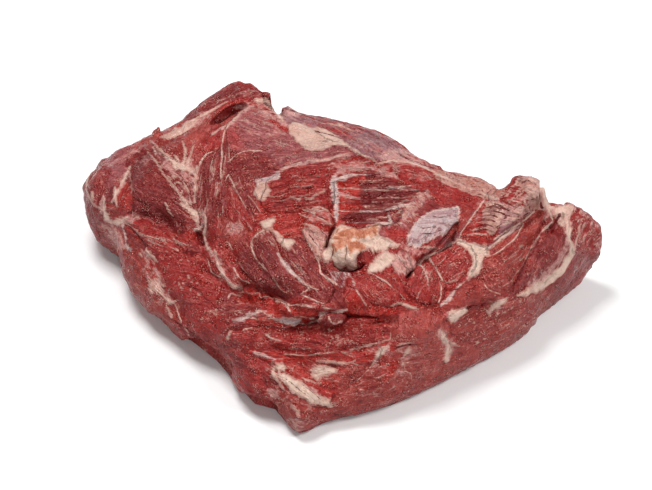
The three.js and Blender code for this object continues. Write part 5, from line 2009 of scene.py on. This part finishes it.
    def raised(self, on: Marks) -> Wire:
        """Works out the finest relief, in millimetres.

        Args:
            on: What shows where.

        Returns:
            How far the surface stands out.
        """
        bare = (1 - on.fatty) * (1 - on.veiled)
        raised = on.streak * 0.9 * on.coarse + on.bundle * 2.2 * on.coarse + on.dots * on.gritty
        raised = raised + on.lumps * 1.3 + on.ragged.ramp(-0.6, 1.2) * 0.6 + on.lined * (0.45 - on.dark * 0.9)
        raised = raised + on.outline_depth.ramp(-0.3, 0.9) * on.strength * 0.6 * bare
        raised = raised + (on.sinew * 0.1 - on.gap * 0.25 * on.coarse) * bare
        raised = raised + on.veiled * 0.3 - on.seam * on.fatty * 0.2
        return raised + (on.dots * 2.2 + on.grit * 1.4) * (on.wet.ramp(0.0, 0.1) * (1 - on.fatty))


@dataclass
class BeefJoint:
    """The joint as one piece that stands for its solid.

    Attributes:
        voxel: The size of the fine skin's squares, in metres.
        smoothing: How often the skin is smoothed before anything is laid on it.
        limit: How many triangles it may have in the end.
        care: How strongly the thinning keeps off what shows.
        thinning: How readily the skin thins under the joint, behind it, where it shows, and at its marks.
        body: What shapes the body.
        lean: The muscles.
        fat: What covers them.
        folds: The threads and folds.
        finish: The material.
    """

    voxel: float = 0.00108
    smoothing: int = 7
    limit: int = 198000
    care: float = 0.3
    thinning: tuple[float, float, float, float] = (1.0, 0.4, 0.1, 0.0)
    body: Body = field(default_factory=Body)
    lean: LeanMeat = field(default_factory=LeanMeat)
    fat: FatAndFilm = field(default_factory=FatAndFilm)
    folds: ThreadsAndFolds = field(default_factory=ThreadsAndFolds)
    finish: RawBeef = field(default_factory=RawBeef)

    def build(self, node: bpy.types.Object, view: StudioView) -> bpy.types.Object:
        """Makes the piece.

        Args:
            node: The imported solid.
            view: The studio camera.

        Returns:
            The finished piece.
        """
        piece = self.remeshed(node)
        skin = Skin(piece, view)
        LOG.info("skin of %d vertices, %d of them seen", len(skin.points), int(skin.seen.sum()))
        self.body.shape(skin)
        self.lean.grow(skin)
        self.fat.lay(skin)
        self.folds.lay(skin)
        skin.finish()
        self.thin(skin)
        piece.data.polygons.foreach_set("use_smooth", [True] * len(piece.data.polygons))
        piece.data.materials.clear()
        piece.data.materials.append(self.finish.build(self.lean.fibres))
        return piece

    def applied(self, piece: bpy.types.Object) -> None:
        """Applies the modifiers of a piece to its mesh.

        Args:
            piece: The piece.
        """
        shaped = piece.evaluated_get(bpy.context.evaluated_depsgraph_get())
        mesh = bpy.data.meshes.new_from_object(shaped)
        piece.modifiers.clear()
        piece.data = mesh

    def remeshed(self, node: bpy.types.Object) -> bpy.types.Object:
        """Copies the solid and gives the copy a fine, even skin.

        Args:
            node: The solid's object.

        Returns:
            The copy.
        """
        shape = bmesh.new()
        shape.from_mesh(node.data)
        bmesh.ops.remove_doubles(shape, verts=shape.verts, dist=WELD)
        piece = add_object(PIECE, shape)
        remesh = piece.modifiers.new("remesh", "REMESH")
        remesh.mode = "VOXEL"
        remesh.voxel_size = self.voxel
        even = piece.modifiers.new("even", "SMOOTH")
        even.factor = 0.5
        even.iterations = self.smoothing
        self.applied(piece)
        return piece

    def thin(self, skin: Skin) -> None:
        """Thins the skin until it is under the limit, and least where much is laid on it.

        Args:
            skin: The skin with its relief.
        """
        piece = skin.piece
        triangles = sum(len(face.vertices) - 2 for face in piece.data.polygons)
        LOG.info("remeshed to %d triangles", triangles)
        if triangles <= self.limit:
            return
        marked = (skin.line_gap < 2.0) | (np.abs(skin.tissue[:, 0]) < 1.2) | (skin.feel[:, 0] > 0.3)
        under = ~skin.seen & ((skin.points[:, 2] < 3) | (skin.normals[:, 2] < -0.6))
        group = piece.vertex_groups.new(name="thinning")
        places = (under, ~skin.seen & ~under, skin.seen & ~marked, skin.seen & marked)
        for chosen, weight in zip(places, self.thinning):
            group.add(np.flatnonzero(chosen).tolist(), weight, "REPLACE")
        thinner = piece.modifiers.new("thinner", "DECIMATE")
        thinner.ratio = self.limit / triangles
        thinner.vertex_group = group.name
        thinner.vertex_group_factor = self.care
        self.applied(piece)
        LOG.info("thinned to %d faces", len(piece.data.polygons))


@dataclass(frozen=True)
class Softbox:
    """A square light that points at the joint.

    Attributes:
        name: Its name.
        place: Where it hangs, in metres.
        size: Its side in metres.
        power: Its power in watts.
    """

    name: str
    place: tuple[float, float, float]
    size: float
    power: float

    def build(self) -> None:
        """Adds the light."""
        lamp = bpy.data.lights.new(self.name, "AREA")
        lamp.size = self.size
        lamp.energy = self.power
        holder = bpy.data.objects.new(self.name, lamp)
        holder.location = self.place
        toward = Vector((0, 0, 0.04)) - Vector(self.place)
        holder.rotation_euler = toward.to_track_quat("-Z", "Y").to_euler()
        bpy.context.scene.collection.objects.link(holder)


@dataclass
class Studio:
    """The pale floor and the soft light."""

    floor_size: float = 8.0
    floor_colour: tuple[float, ...] = (0.93, 0.93, 0.93, 1.0)
    room_light: float = 0.2
    softboxes: tuple[Softbox, ...] = (
        Softbox("large_softbox", (-0.4, 0.4, 1.5), 0.6, 22.5),
        Softbox("small_softbox", (0.9, -0.2, 1.1), 0.4, 9.5),
        Softbox("front_softbox", (0.1, -1.6, 1.0), 0.5, 7.0),
    )

    def build(self) -> None:
        """Adds the floor, the lights and the light of the room."""
        shape = bmesh.new()
        bmesh.ops.create_grid(shape, x_segments=1, y_segments=1, size=self.floor_size / 2)
        floor = add_object("studio_floor", shape)
        graph = Graph("studio_floor_finish")
        graph.shade({"Base Color": self.floor_colour, "Roughness": 0.9, "Specular IOR Level": 0.1})
        floor.data.materials.append(graph.material)
        for softbox in self.softboxes:
            softbox.build()
        world = bpy.data.worlds.new("studio_room")
        world.use_nodes = True
        world.node_tree.nodes["Background"].inputs["Color"].default_value = (1, 1, 1, 1)
        world.node_tree.nodes["Background"].inputs["Strength"].default_value = self.room_light
        bpy.context.scene.world = world
        bpy.context.scene.view_settings.view_transform = "Standard"


def main() -> None:
    """Builds the studio and the joint, and reports each piece."""
    logging.basicConfig(level=logging.INFO, format="%(message)s")
    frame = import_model()
    view = StudioView()
    view.build()
    Studio().build()
    piece = BeefJoint().build(frame["nodes"][NODE], view)
    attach(piece, "root")
    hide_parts(NODE)
    LOG.info("%s: %d faces", piece.name, len(piece.data.polygons))


if __name__ == "__main__":
    main()
